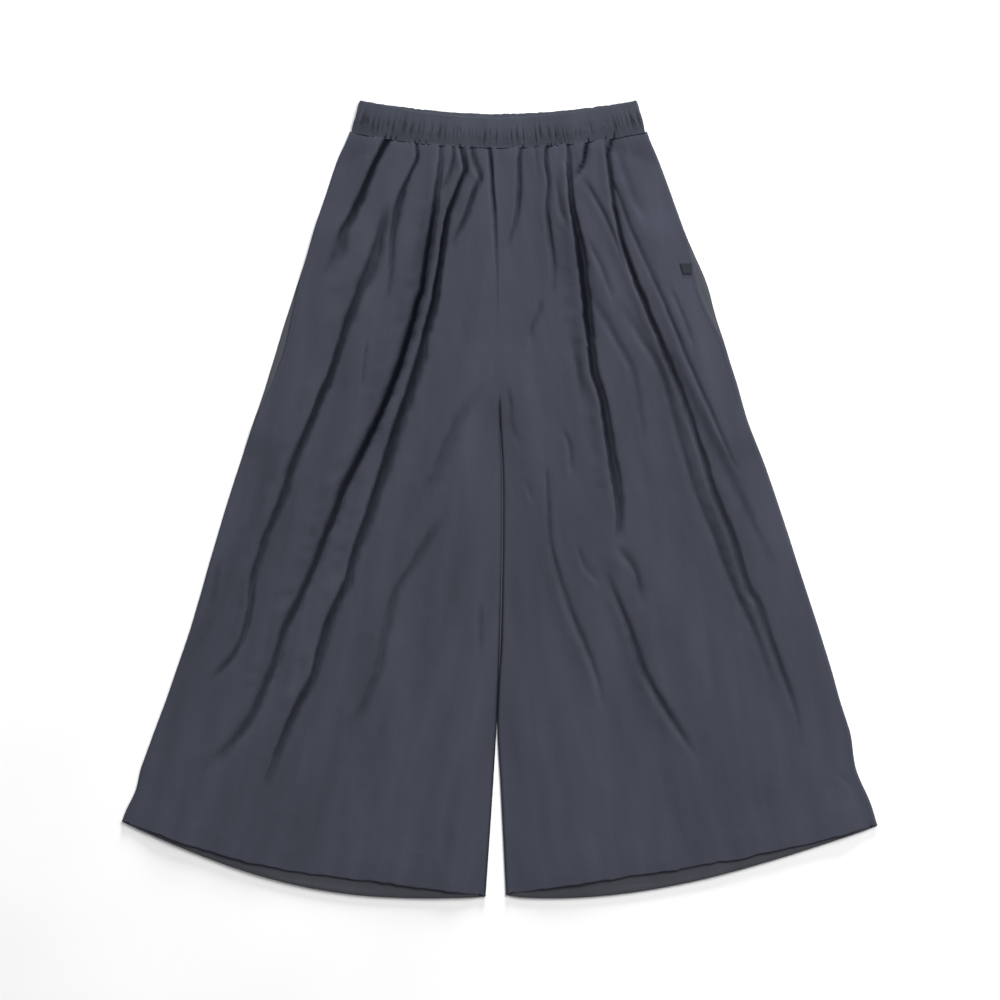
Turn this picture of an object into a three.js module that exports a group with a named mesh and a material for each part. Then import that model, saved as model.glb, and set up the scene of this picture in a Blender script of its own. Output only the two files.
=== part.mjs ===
// Wide-leg pull-on trousers, laid flat on their back with the front up.
// Millimetres. +X is the wearer's left, +Y runs from the hems to the waist, +Z is up from the surface.
// The origin is at the middle of the garment's outline, on the surface that it lies on.
// Each leg has a front and a back panel. All four hang from one gathered waistband with elastic inside.

import * as THREE from "three";

// Driving dimensions
const CLOTH = 1.2; // wall of one layer of cloth
const SEAM_GAP = 0.4; // between two pieces that are sewn together
const LAYER_GAP = 0.4; // between two layers that lie on each other
const WAIST_HALF = 166.3; // half of the waist seam's width, laid flat
const WAIST_SHIFT = -1.1; // the waist seam's middle lies this far to one side
const WAIST_TOP_HALF = 155.5; // half of the band's top edge
const WAIST_SEAM_UP = 393; // the waist seam at the centre front
const WAIST_SEAM_RISE = 17; // it rises this much towards the sides
const CROTCH_SHARE = 0.342; // the crotch lies this share of the way down the inner edge
const TURN_IN = 45; // a leg's layers close onto each other within this distance of a seam
const SEAM_FADE = { before: 0.04, over: 0.09 }; // the centre seam turns into the inseam about the crotch
const WAIST_FADE = 0.05; // the front comes down to the band over this share of its length

// The levels at which the tables below give a leg's shape, as shares of the way from waist seam to hem
const LEVEL = { waist: 0, hip: 0.13, seat: 0.33, thigh: 0.53, knee: 0.73, hem: 1 };
const SIDE_LEVEL = { waist: 0, flare: 0.04, hip: 0.13, seat: 0.33, thigh: 0.53, knee: 0.73, hem: 1 };
const INSEAM_LEVEL = {
  waist: 0, crotch: CROTCH_SHARE, thigh: 0.45, calf: 0.65, parting: 0.76, shin: 0.86, hem: 1,
};

// One row for each leg. side is +1 on the wearer's left. outer and inner are the distances of the side
// seam and the inner edge from the centre line, and the corners give how far up the hem's ends lie.
const LEGS = [
  {
    name: "right",
    side: -1,
    outer: { waist: 167.4, flare: 182, hip: 205, seat: 253, thigh: 303, knee: 349, hem: 422.8 },
    inner: { waist: 0, crotch: 0, thigh: -3.2, calf: -0.8, parting: 3.2, shin: 9.5, hem: 15.5 },
    outerCorner: -360,
    innerCorner: -444,
    frontHem: { sag: 16, lowest: 0.6 },
    backHem: { sag: 30.5, lowest: 0.5 },
    ankleDent: { at: 0.955, reach: 0.035, by: -3 },
    pocketBulge: { at: 0.27, reach: 0.1, by: 0 },
    mouthInset: { at: 0.27, reach: 0.1, by: 9 },
  },
  {
    name: "left",
    side: 1,
    outer: { waist: 165.2, flare: 179, hip: 204, seat: 258.6, thigh: 310.6, knee: 361, hem: 423.4 },
    inner: { waist: 0, crotch: 0, thigh: 3.9, calf: 1.8, parting: -2, shin: 2.2, hem: 7.3 },
    outerCorner: -364.5,
    innerCorner: -442,
    frontHem: { sag: 8, lowest: 0.6 },
    backHem: { sag: 24, lowest: 0.43 },
    ankleDent: { at: 0.92, reach: 0.06, by: -5 },
    pocketBulge: { at: 0.21, reach: 0.08, by: 5 },
    mouthInset: { at: 0.27, reach: 0.1, by: 2 },
  },
];

// One row for each fold of a front panel: the share of the panel's width at which its valley lies at each
// level, how deep it is, its half width, and the levels between which it shows. lean is the side on which
// the cloth stands up beside the valley, +1 towards the side seam. fill is how many columns more than one
// lie between this fold and the one before it.
const FOLD_COLUMNS = [
  "waist", "hip", "seat", "thigh", "knee", "hem", "depth", "half", "from", "to", "lean", "fill",
];
const named = (row) => Object.fromEntries(FOLD_COLUMNS.map((name, i) => [name, row[i]]));
const FRONT_FOLDS = {
  right: [
    [0.06, 0.035, 0.05, 0.06, 0.07, 0.08, 3, 4, 0, 0.28, -1, 0],
    [0.155, 0.215, 0.25, 0.29, 0.4, 0.45, 3.5, 5, 0, 0.8, 1, 2],
    [0.25, 0.3, 0.385, 0.5, 0.596, 0.67, 7, 5, 0, 0.87, 1, 1],
    [0.385, 0.385, 0.478, 0.637, 0.73, 0.8, 9, 5, 0, 0.84, 1, 0],
    [0.53, 0.57, 0.6, 0.72, 0.8, 0.86, 4, 4, 0, 0.27, 1, 1],
    [0.62, 0.68, 0.76, 0.837, 0.89, 0.92, 6, 5, 0.06, 0.75, -1, 1],
    [0.72, 0.83, 0.89, 0.925, 0.95, 0.965, 6, 5, 0, 0.2, -1, 0],
  ].map(named),
  left: [
    [0.136, 0.07, 0.045, 0.05, 0.06, 0.07, 3, 4, 0, 0.2, 1, 0],
    [0.3, 0.27, 0.25, 0.2, 0.3, 0.36, 4, 5, 0, 0.78, -1, 2],
    [0.447, 0.417, 0.406, 0.395, 0.484, 0.58, 9, 5, 0, 0.84, -1, 2],
    [0.57, 0.54, 0.555, 0.55, 0.61, 0.69, 4, 4, 0, 0.4, -1, 1],
    [0.66, 0.63, 0.67, 0.715, 0.79, 0.85, 3, 4, 0.15, 0.8, 1, 0],
    [0.735, 0.705, 0.755, 0.808, 0.86, 0.905, 7, 4, 0, 0.78, -1, 0],
    [0.82, 0.8, 0.875, 0.907, 0.93, 0.95, 5, 4, 0.03, 0.58, -1, 0],
  ].map(named),
};

// The back lies on these folds, so they are shallow channels in its underside.
const BACK_FOLDS = [
  [0.12, 0.12, 0.16, 0.2, 0.24, 0.28, 1.5, 6, 0, 0.5, 1, 1],
  [0.3, 0.33, 0.4, 0.46, 0.5, 0.54, 1.5, 7, 0, 0.78, 1, 1],
  [0.5, 0.53, 0.58, 0.64, 0.69, 0.73, 1.5, 7, 0, 0.66, -1, 1],
  [0.68, 0.7, 0.74, 0.79, 0.83, 0.86, 1.2, 6, 0, 0.36, -1, 1],
].map(named);

// A fold's cross section, in half widths: the crest at -1, the valley at 0, and the far shoulder
const SECTION = {
  crest: 0.6,
  crestOuter: 2,
  crestInner: 0.7,
  valley: 0.5,
  steep: 0.5,
  easy: 0.9,
  shoulder: 1.4,
};
// A fold that starts at the waist seam is pressed down there to this share. Its end fades over a share of
// its run, and never faster than the shortest fade.
const FOLD_ENDS = { atSeam: 0.45, opens: 0.07, starts: 0.08, fadeShare: 0.55, shortestFade: 0.12 };

// How far the front stands up from the back between its folds, and how far its valleys stay off it
const FRONT_LOFT = { waist: 2.1, hip: 3.4, seat: 3.2, thigh: 2.8, knee: 2.4, hem: 2.4 };
const VALLEY_FLOOR = 1.6;
// The back's channels keep this far from the side seam and the inner edge, and fade in over this much.
// flatBelow trims their faint tails, so that the cloth between them is truly flat.
const BACK_CHANNEL = { fromSide: 30, fromInner: 30, centreBonus: 60, fade: 50, flatBelow: 0.08 };
const FRONT_ROWS = 24;
const BACK_ROWS = 16;
const LAST_FILL = 3; // plain columns between the last fold and the side seam

// Waistband: one strip folded over elastic and joined into a ring, pressed flat by its own weight
const BAND = {
  thick: 6, // both layers together
  wall: 2.5,
  topCurve: 1.8, // the power of the top edge's curve across
  sideUp: 446.5, // its top edge at the sides
  frontTopUp: 427.5, // its top edge at the centre front
  backTopUp: 432, // and at the centre back, which shows above the front
  gathers: 48, // on each of the two layers
  endSteps: 6,
};
// No two gathers beside each other are quite as deep.
const UNEVEN = { least: 0.7, swing: 0.3, pace: 2.4 };
// Rows of the band, as shares of its depth up from the waist seam, with the depth of the gathers there
const BAND_ROWS = [
  { share: 0, gather: 0.5 },
  { share: 0.3, gather: 0.2 }, // the stitching under the elastic
  { share: 0.48, gather: 0.9 },
  { share: 0.82, gather: 0.7 },
  { share: 1, gather: 0.25 },
];

// The strip of cloth behind each side pocket's mouth, which shows where the front's edge stands back
const FACING = { top: 0.165, bottom: 0.405, wide: 26, thick: 1, edge: 0.6, rows: 12, columns: 3 };
// What the facing lifts the front by, how far beyond its edges the lift reaches, and how softly it ends
const POCKET_LIFT = { by: 1.5, beyond: 0.07, ends: 0.05, across: 30 };
const FACING_REST = 0.3; // the facing's clearance over the back
// The tab's middle lies this far from the centre line and this far up. wide is its top edge, and its inner
// edge leans in by slant on the way down.
const TAB = { across: 208.8, up: 258.6, wide: 14, long: 12.5, slant: 3.8, thick: 0.8 };
const LOOK_UP_STEPS = 8;

const COLOURS = { cloth: 0x4b4e58, inside: 0x4f525a, tab: 0x35393b };

const smooth = (x) => THREE.MathUtils.smoothstep(x, 0, 1);
// A hump that is 1 at the middle and falls to nothing at the distance of reach
const hump = (x, { at, reach, by }) => by * (1 - smooth(Math.abs(x - at) / reach));

// The smooth curve through a table row's values, at the share v of the way down
function along(row, v, levels = LEVEL) {
  const names = Object.keys(levels);
  const at = (i) => new THREE.Vector2(levels[names[i]], row[names[i]]);
  let i = 0;
  while (i < names.length - 2 && v > levels[names[i + 1]]) i += 1;
  const [p, q] = [at(i), at(i + 1)];
  const before = i > 0 ? at(i - 1) : p;
  const after = i + 2 < names.length ? at(i + 2) : q;
  const slope = (a, b) => (b.y - a.y) / (b.x - a.x);
  const span = q.x - p.x;
  const t = (v - p.x) / span;
  const [rise, startTurn, endTurn] = [q.y - p.y, slope(before, q) * span, slope(p, after) * span];
  const curve = t * t * (3 - 2 * t);
  return p.y + rise * curve + startTurn * t * (1 - t) ** 2 - endTurn * t * t * (1 - t);
}

// How far a hem's middle hangs below the straight line between its corners
const hemSag = (u, { sag, lowest }) => sag * Math.sin(Math.PI * u ** (Math.log(0.5) / Math.log(lowest)));

const innerEdge = (leg, v) => along(leg.inner, v, INSEAM_LEVEL) + SEAM_GAP / 2;
const outerEdge = (leg, v) =>
  along(leg.outer, v, SIDE_LEVEL) + hump(v, leg.pocketBulge) + hump(v, leg.ankleDent);

// A point of a leg in plan: u runs from the inner edge to the side seam, v from the waist seam to the hem.
function plan(leg, hem, u, v, inset = 0) {
  const [inner, outer] = [innerEdge(leg, v), outerEdge(leg, v) - inset];
  const innerUp = THREE.MathUtils.lerp(WAIST_SEAM_UP, leg.innerCorner, v);
  const outerUp = THREE.MathUtils.lerp(WAIST_SEAM_UP + WAIST_SEAM_RISE, leg.outerCorner, v);
  const seamDip = WAIST_SEAM_RISE * (u - u * u);
  const up = THREE.MathUtils.lerp(innerUp, outerUp, u) - (1 - v) * seamDip - v * hemSag(u, hem);
  return {
    x: leg.side * THREE.MathUtils.lerp(inner, outer, u),
    up: up - SEAM_GAP,
    toInner: u * (outer - inner),
    toOuter: (1 - u) * (outer - inner),
    width: outer - inner,
  };
}

const bell = (x) => Math.exp(-x * x);

// The height of a fold across its section: cloth stands up at -1, drops to the valley at 0 and recovers.
function foldSection(t) {
  const crest = SECTION.crest * bell((t + 1) / (t < -1 ? SECTION.crestOuter : SECTION.crestInner));
  return crest - SECTION.valley * bell(t / (t < 0 ? SECTION.steep : SECTION.easy));
}

// How strongly a fold shows at the level v
function foldStrength(fold, v) {
  const { atSeam, opens, starts, fadeShare, shortestFade } = FOLD_ENDS;
  const gathered = atSeam + (1 - atSeam) * smooth(v / opens);
  const opening = fold.from > 0 ? smooth((v - fold.from) / starts) : gathered;
  return opening * smooth((fold.to - v) / Math.max(shortestFade, fadeShare * (fold.to - fold.from)));
}

// How far a point lies from a fold's valley, in the fold's half widths
const awayFrom = (fold, u, v, width) => ((u - along(fold, v)) * width) / fold.half;

function foldsAt(folds, u, v, width) {
  const heights = folds.map((fold) => {
    const section = foldSection(-fold.lean * awayFrom(fold, u, v, width));
    return fold.depth * foldStrength(fold, v) * section;
  });
  return heights.reduce((sum, height) => sum + height, 0);
}

// 0 at a leg's seams, 1 inside. Above the crotch the inner edge is the centre seam, which stays up.
function insideLeg(place, v) {
  const below = smooth((v - CROTCH_SHARE + SEAM_FADE.before) / SEAM_FADE.over);
  const fromInner = THREE.MathUtils.lerp(1, smooth(place.toInner / TURN_IN), below);
  return fromInner * smooth(place.toOuter / TURN_IN);
}

// How much the pocket's facing lifts the front above it
function pocketLift(place, v) {
  const { by, beyond, ends, across } = POCKET_LIFT;
  const lengthwise = smooth((v - FACING.top + beyond) / ends) * smooth((FACING.bottom + beyond - v) / ends);
  return by * lengthwise * (1 - smooth((place.toOuter - FACING.wide) / across));
}

// The underside of a front panel
function frontBottom(leg, u, v) {
  const place = plan(leg, leg.frontHem, u, v, hump(v, leg.mouthInset));
  const inside = insideLeg(place, v);
  const waist = 1 - smooth(v / WAIST_FADE);
  const loft = along(FRONT_LOFT, v) + foldsAt(FRONT_FOLDS[leg.name], u, v, place.width);
  const held = Math.max(loft, VALLEY_FLOOR) * Math.max(inside, waist);
  return new THREE.Vector3(place.x, place.up, CLOTH + LAYER_GAP + held + pocketLift(place, v));
}

// The underside of a back panel, which rests on the surface between its folds
function backBottom(leg, u, v) {
  const place = plan(leg, leg.backHem, u, v);
  const { fromSide, fromInner, centreBonus, fade, flatBelow } = BACK_CHANNEL;
  const innerRoom = place.toInner + centreBonus * (1 - v) - fromInner;
  const clear = smooth((place.toOuter - fromSide) / fade) * smooth(innerRoom / fade);
  const channels = BACK_FOLDS.map((fold) => {
    const section = bell(awayFrom(fold, u, v, place.width)) - flatBelow;
    return fold.depth * foldStrength(fold, v) * Math.max(0, section);
  });
  return new THREE.Vector3(place.x, place.up, clear * Math.max(...channels));
}

// The shares of the width at which a row of a panel has its points: each fold's crest, valley and far
// shoulder, and plain columns spread evenly between the folds.
function columnsOf(folds, v, width) {
  const shares = [0];
  const fillTo = (share, count) => {
    const start = shares[shares.length - 1];
    for (let k = 1; k <= count; k += 1) shares.push(start + ((share - start) * k) / (count + 1));
  };
  folds.forEach((fold) => {
    const valley = along(fold, v);
    const spread = (step) => (step * fold.lean > 0 ? 1 : SECTION.shoulder) * step * fold.half;
    const reach = [-1, 0, 1].map((step) => spread(step) / width);
    fillTo(valley + reach[0], fold.fill + 1);
    shares.push(...reach.map((step) => valley + step));
  });
  fillTo(1, LAST_FILL);
  shares.push(1);
  return shares;
}

// A closed wall between two grids of points, each a list of rows. A ring's columns join up.
function wall(upper, lower, { ring = false, flip = false } = {}) {
  const [rows, columns] = [upper.length, upper[0].length];
  const points = [...upper.flat(), ...lower.flat()];
  const at = (layer, r, c) => layer * rows * columns + r * columns + (c % columns);
  const index = [];
  const quad = (a, b, c, d) => index.push(...(flip ? [a, c, b, a, d, c] : [a, b, c, a, c, d]));
  const spans = ring ? columns : columns - 1;
  for (let r = 0; r < rows - 1; r += 1) {
    for (let c = 0; c < spans; c += 1) {
      quad(at(0, r, c), at(0, r + 1, c), at(0, r + 1, c + 1), at(0, r, c + 1));
      quad(at(1, r, c), at(1, r, c + 1), at(1, r + 1, c + 1), at(1, r + 1, c));
    }
    if (!ring) {
      quad(at(0, r, 0), at(1, r, 0), at(1, r + 1, 0), at(0, r + 1, 0));
      quad(at(0, r, spans), at(0, r + 1, spans), at(1, r + 1, spans), at(1, r, spans));
    }
  }
  for (let c = 0; c < spans; c += 1) {
    quad(at(0, 0, c), at(0, 0, c + 1), at(1, 0, c + 1), at(1, 0, c));
    const last = rows - 1;
    quad(at(0, last, c), at(1, last, c), at(1, last, c + 1), at(0, last, c + 1));
  }
  const geometry = new THREE.BufferGeometry().setFromPoints(points);
  geometry.setIndex(index);
  geometry.computeVertexNormals();
  return geometry;
}

const raised = (grid, by) => grid.map((row) => row.map((p) => new THREE.Vector3(p.x, p.y, p.z + by)));

function clothMesh(name, geometry, colour = COLOURS.cloth) {
  const material = new THREE.MeshStandardMaterial({ color: colour, roughness: 0.72, metalness: 0 });
  const mesh = new THREE.Mesh(geometry, material);
  mesh.name = name;
  return mesh;
}

function legPanel(name, leg, bottom, folds, rows) {
  const grid = Array.from({ length: rows + 1 }, (_, r) => {
    const v = r / rows;
    const width = outerEdge(leg, v) - innerEdge(leg, v);
    return columnsOf(folds, v, width).map((u) => bottom(leg, u, v));
  });
  return clothMesh(name, wall(raised(grid, CLOTH), grid, { flip: leg.side < 0 }));
}

function pocketFacing(leg) {
  const grid = Array.from({ length: FACING.rows + 1 }, (_, r) => {
    const v = THREE.MathUtils.lerp(FACING.top, FACING.bottom, r / FACING.rows);
    return Array.from({ length: FACING.columns + 1 }, (_, c) => {
      const fromSeam = FACING.edge + (FACING.wide - FACING.edge) * (1 - c / FACING.columns);
      const width = outerEdge(leg, v) - innerEdge(leg, v);
      const place = plan(leg, leg.backHem, 1 - fromSeam / width, v);
      return new THREE.Vector3(place.x, place.up, CLOTH + FACING_REST);
    });
  });
  const geometry = wall(raised(grid, FACING.thick), grid, { flip: leg.side < 0 });
  return clothMesh(`pocket_facing_${leg.name}`, geometry, COLOURS.inside);
}

// The shares u and v at which a front panel has the place that lies this far across and up. Each step
// moves v by the error that is left in the height, and then takes u from the panel's width at that level.
function sharesAt(leg, across, up) {
  const length = WAIST_SEAM_UP - leg.innerCorner;
  let [u, v] = [1, (WAIST_SEAM_UP - up) / length];
  for (let k = 0; k < LOOK_UP_STEPS; k += 1) {
    const inset = hump(v, leg.mouthInset);
    const [inner, outer] = [innerEdge(leg, v), outerEdge(leg, v) - inset];
    u = (across - inner) / (outer - inner);
    v += (plan(leg, leg.frontHem, u, v, inset).up - up) / length;
  }
  return [u, v];
}

// The small blank tab sewn on beside the left pocket's mouth, made from the front's own points
function pocketTab(leg) {
  const steps = [0, 0.5, 1];
  const grid = steps.map((down) =>
    steps.map((right) => {
      const across = TAB.across + (right - 0.5) * TAB.wide + (1 - right) * down * TAB.slant;
      const point = frontBottom(leg, ...sharesAt(leg, across, TAB.up + (0.5 - down) * TAB.long));
      point.z += CLOTH + LAYER_GAP;
      return point;
    }),
  );
  return clothMesh("pocket_tab", wall(raised(grid, TAB.thick), grid), COLOURS.tab);
}

// The band's two loops of points: its outer face, with the gathers pressed in, and its plain inside.
function waistband() {
  const half = BAND.thick / 2;
  const stations = [];
  const steps = BAND.gathers * 2;
  // The front layer from the wearer's right to left, the turn, the back layer, and the other turn
  [1, -1].forEach((layer) => {
    for (let k = 0; k <= steps; k += 1) {
      stations.push({ across: layer * ((2 * k) / steps - 1), layer, turn: 0, trough: k % 2, k });
    }
    for (let k = 1; k < BAND.endSteps; k += 1) {
      stations.push({ across: layer, layer, turn: (Math.PI * k) / BAND.endSteps, trough: 0, k });
    }
  });
  const face = (row, depthOut) =>
    stations.map((station) => {
      const { across, layer, turn, trough, k } = station;
      const seamUp = WAIST_SEAM_UP + WAIST_SEAM_RISE * across ** 2;
      const topMiddle = layer > 0 ? BAND.frontTopUp : BAND.backTopUp;
      const topUp = topMiddle + (BAND.sideUp - topMiddle) * Math.abs(across) ** BAND.topCurve;
      const halfWidth = THREE.MathUtils.lerp(WAIST_HALF, WAIST_TOP_HALF, row.share) - half;
      const uneven = UNEVEN.least + UNEVEN.swing * Math.sin(UNEVEN.pace * k + layer);
      const radius = half - depthOut - (depthOut ? 0 : trough * row.gather * uneven);
      const x = across * halfWidth + layer * radius * Math.sin(turn);
      const z = half + layer * radius * Math.cos(turn);
      return new THREE.Vector3(x + WAIST_SHIFT, THREE.MathUtils.lerp(seamUp, topUp, row.share), z);
    });
  const rows = [...BAND_ROWS].reverse();
  const outer = rows.map((row) => face(row, 0));
  const inner = rows.map((row) => face(row, BAND.wall));
  return clothMesh("waistband", wall(outer, inner, { ring: true }));
}

const trousers = new THREE.Group();
trousers.name = "trousers";
trousers.add(waistband());
LEGS.forEach((leg) => {
  trousers.add(
    legPanel(`front_${leg.name}`, leg, frontBottom, FRONT_FOLDS[leg.name], FRONT_ROWS),
    legPanel(`back_${leg.name}`, leg, backBottom, BACK_FOLDS, BACK_ROWS),
    pocketFacing(leg),
  );
});
trousers.add(pocketTab(LEGS.find((leg) => leg.name === "left")));

export default trousers;
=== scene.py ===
"""Wide-leg pull-on trousers, laid flat on their back with the front up.

Sizes are in millimetres in the tables and the surfaces, and become metres when a mesh is made. Lights
and finishes are set in metres.
+X is the wearer's left, +Y runs from the hems to the waist, and +Z is up from the surface.
"""
import logging
from dataclasses import dataclass
from enum import Enum
from typing import Any, Callable, Mapping, Optional, Sequence, Tuple, Union

import bpy
import numpy as np
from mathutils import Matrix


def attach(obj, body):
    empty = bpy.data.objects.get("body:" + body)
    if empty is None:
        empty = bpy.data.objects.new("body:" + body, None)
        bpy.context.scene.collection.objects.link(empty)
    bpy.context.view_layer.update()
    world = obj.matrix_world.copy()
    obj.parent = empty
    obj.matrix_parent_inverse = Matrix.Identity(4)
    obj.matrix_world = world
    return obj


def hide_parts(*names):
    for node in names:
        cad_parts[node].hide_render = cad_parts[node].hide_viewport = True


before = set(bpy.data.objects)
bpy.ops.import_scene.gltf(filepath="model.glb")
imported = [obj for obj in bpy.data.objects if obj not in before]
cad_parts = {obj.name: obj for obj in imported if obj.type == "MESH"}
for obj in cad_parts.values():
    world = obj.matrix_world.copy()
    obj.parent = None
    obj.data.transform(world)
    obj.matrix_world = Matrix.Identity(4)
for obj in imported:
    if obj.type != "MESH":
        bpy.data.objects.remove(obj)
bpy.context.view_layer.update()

LOG = logging.getLogger("trousers")
MM = 0.001
ROOT_BODY = "root"

Array = np.ndarray
Levels = Mapping[str, float]

# The construction's sizes, as the solids have them
CLOTH = 1.2
SEAM_GAP = 0.4
LAYER_GAP = 0.4
WAIST_HALF = 166.3
WAIST_SHIFT = -1.1
WAIST_TOP_HALF = 155.5
WAIST_SEAM_UP = 393.0
WAIST_SEAM_RISE = 17.0
CROTCH_SHARE = 0.342

# The finer cloth: its walls, what goes under the band, the way down to a seam, and the cut's allowances
FRONT_WALL = 0.9
BACK_WALL = 0.8
UNDER_BAND = 2.6
TURN_IN = 45.0
SIDE_ALLOWANCE = 11.0
WAIST_ALLOWANCE = 18.0
CENTRE_SEAM_SEED = 5

# The shares of the way down the side seam between which the facings lie
FACING_TOP = 0.165
FACING_BOTTOM = 0.405

# The levels of the tables, as shares of the way from the waist seam to the hem
LEVELS: Levels = {"waist": 0, "hip": 0.13, "seat": 0.33, "thigh": 0.53, "knee": 0.73, "hem": 1}
SIDE_LEVELS: Levels = {"waist": 0, "flare": 0.04, "hip": 0.13, "seat": 0.33, "thigh": 0.53,
                       "knee": 0.73, "hem": 1}
INSEAM_LEVELS: Levels = {"waist": 0, "crotch": 0.342, "thigh": 0.45, "calf": 0.65,
                         "parting": 0.76, "shin": 0.86, "hem": 1}
FRONT_LOFT: Levels = {"waist": 2.1, "hip": 3.4, "seat": 3.2, "thigh": 2.8, "knee": 2.4, "hem": 2.4}


class Side(Enum):
    """The wearer's sides, with the sign that each has along X."""

    RIGHT = -1
    LEFT = 1


class Layer(Enum):
    """The two layers of a garment that lies flat."""

    FRONT = "front"
    BACK = "back"


def smooth(x: Array) -> Array:
    """Ease from 0 to 1 as x runs from 0 to 1: the cubic 3 x squared less 2 x cubed."""
    x = np.clip(x, 0.0, 1.0)
    return x * x * (3.0 - 2.0 * x)


def bell(x: Array) -> Array:
    """A bell curve, e to the minus x squared."""
    return np.exp(-np.square(x))


def through(levels: Sequence[float], values: Sequence[float], at: Array) -> Array:
    """A smooth curve through points of a table.

    Each span is a cubic whose slope at each end is that of the line between the points either side.

    Args:
        levels: where the points lie, rising.
        values: the curve's value at each of them.
        at: where to read the curve.

    Returns:
        The curve's values.
    """
    x, y = np.asarray(levels, float), np.asarray(values, float)
    slopes = np.diff(y) / np.diff(x)
    middle = (y[2:] - y[:-2]) / (x[2:] - x[:-2])
    tangents = np.concatenate([slopes[:1], middle, slopes[-1:]])
    at = np.asarray(at, float)
    i = np.clip(np.searchsorted(x, at, side="right") - 1, 0, len(x) - 2)
    span = x[i + 1] - x[i]
    t = (at - x[i]) / span
    rise = (y[i + 1] - y[i]) * t * t * (3 - 2 * t)
    leave = tangents[i] * span * t * (1 - t) ** 2
    arrive = tangents[i + 1] * span * t * t * (1 - t)
    return y[i] + rise + leave - arrive


def along(row: Levels, at: Array, levels: Levels = LEVELS) -> Array:
    """Read a table row, whose columns are named levels, at shares of the way down."""
    return through(list(levels.values()), [row[name] for name in levels], at)


def wander(a: Array, b: Array, cell: Tuple[float, float], seed: int) -> Array:
    """Smooth noise between -1 and 1 over two coordinates.

    Random values stand on a lattice of the given cells, and the value between them is the bilinear mix of
    the four around it, eased by the cubic of smooth().

    Args:
        a: the first coordinate.
        b: the second coordinate.
        cell: the size of a lattice cell along each coordinate.
        seed: the seed of the random values.

    Returns:
        The noise at each point.
    """
    size = 257
    lattice = np.random.default_rng(seed).uniform(-1.0, 1.0, (size, size))
    p, q = np.asarray(a) / cell[0] + 97.3, np.asarray(b) / cell[1] + 61.7
    i, j = np.floor(p).astype(int), np.floor(q).astype(int)
    s, t = smooth(p - i), smooth(q - j)
    i0, i1, j0, j1 = i % size, (i + 1) % size, j % size, (j + 1) % size
    low = lattice[i0, j0] * (1 - s) + lattice[i1, j0] * s
    high = lattice[i0, j1] * (1 - s) + lattice[i1, j1] * s
    return low * (1 - t) + high * t


def waver(a: Array, reach: float, seed: int) -> Array:
    """Smooth noise between -1 and 1 along one coordinate, whose lattice has cells of the given reach."""
    return wander(a, 0 * a, (reach, 1.0), seed)


def sharp(noise: Array) -> Array:
    """Turn noise into narrow crests and wide hollows: 1 less twice its size, still from -1 to 1."""
    return 1.0 - 2.0 * np.sqrt(np.abs(noise))


@dataclass(frozen=True)
class Hem:
    """A hem's hang: how far its middle hangs below the line between its corners, and where."""

    sag: float
    lowest: float

    def drop(self, u: Array) -> Array:
        """The hang at shares u of the width: a half sine whose peak is moved to the lowest place."""
        return self.sag * np.sin(np.pi * np.clip(u, 0, 1) ** (np.log(0.5) / np.log(self.lowest)))


@dataclass(frozen=True)
class Bump:
    """A swelling of an edge, which falls to nothing at a distance of reach from its middle."""

    at: float
    reach: float
    by: float

    def value(self, v: Array) -> Array:
        """The swelling at shares v of the way down."""
        return self.by * (1 - smooth(np.abs(v - self.at) / self.reach))


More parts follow.
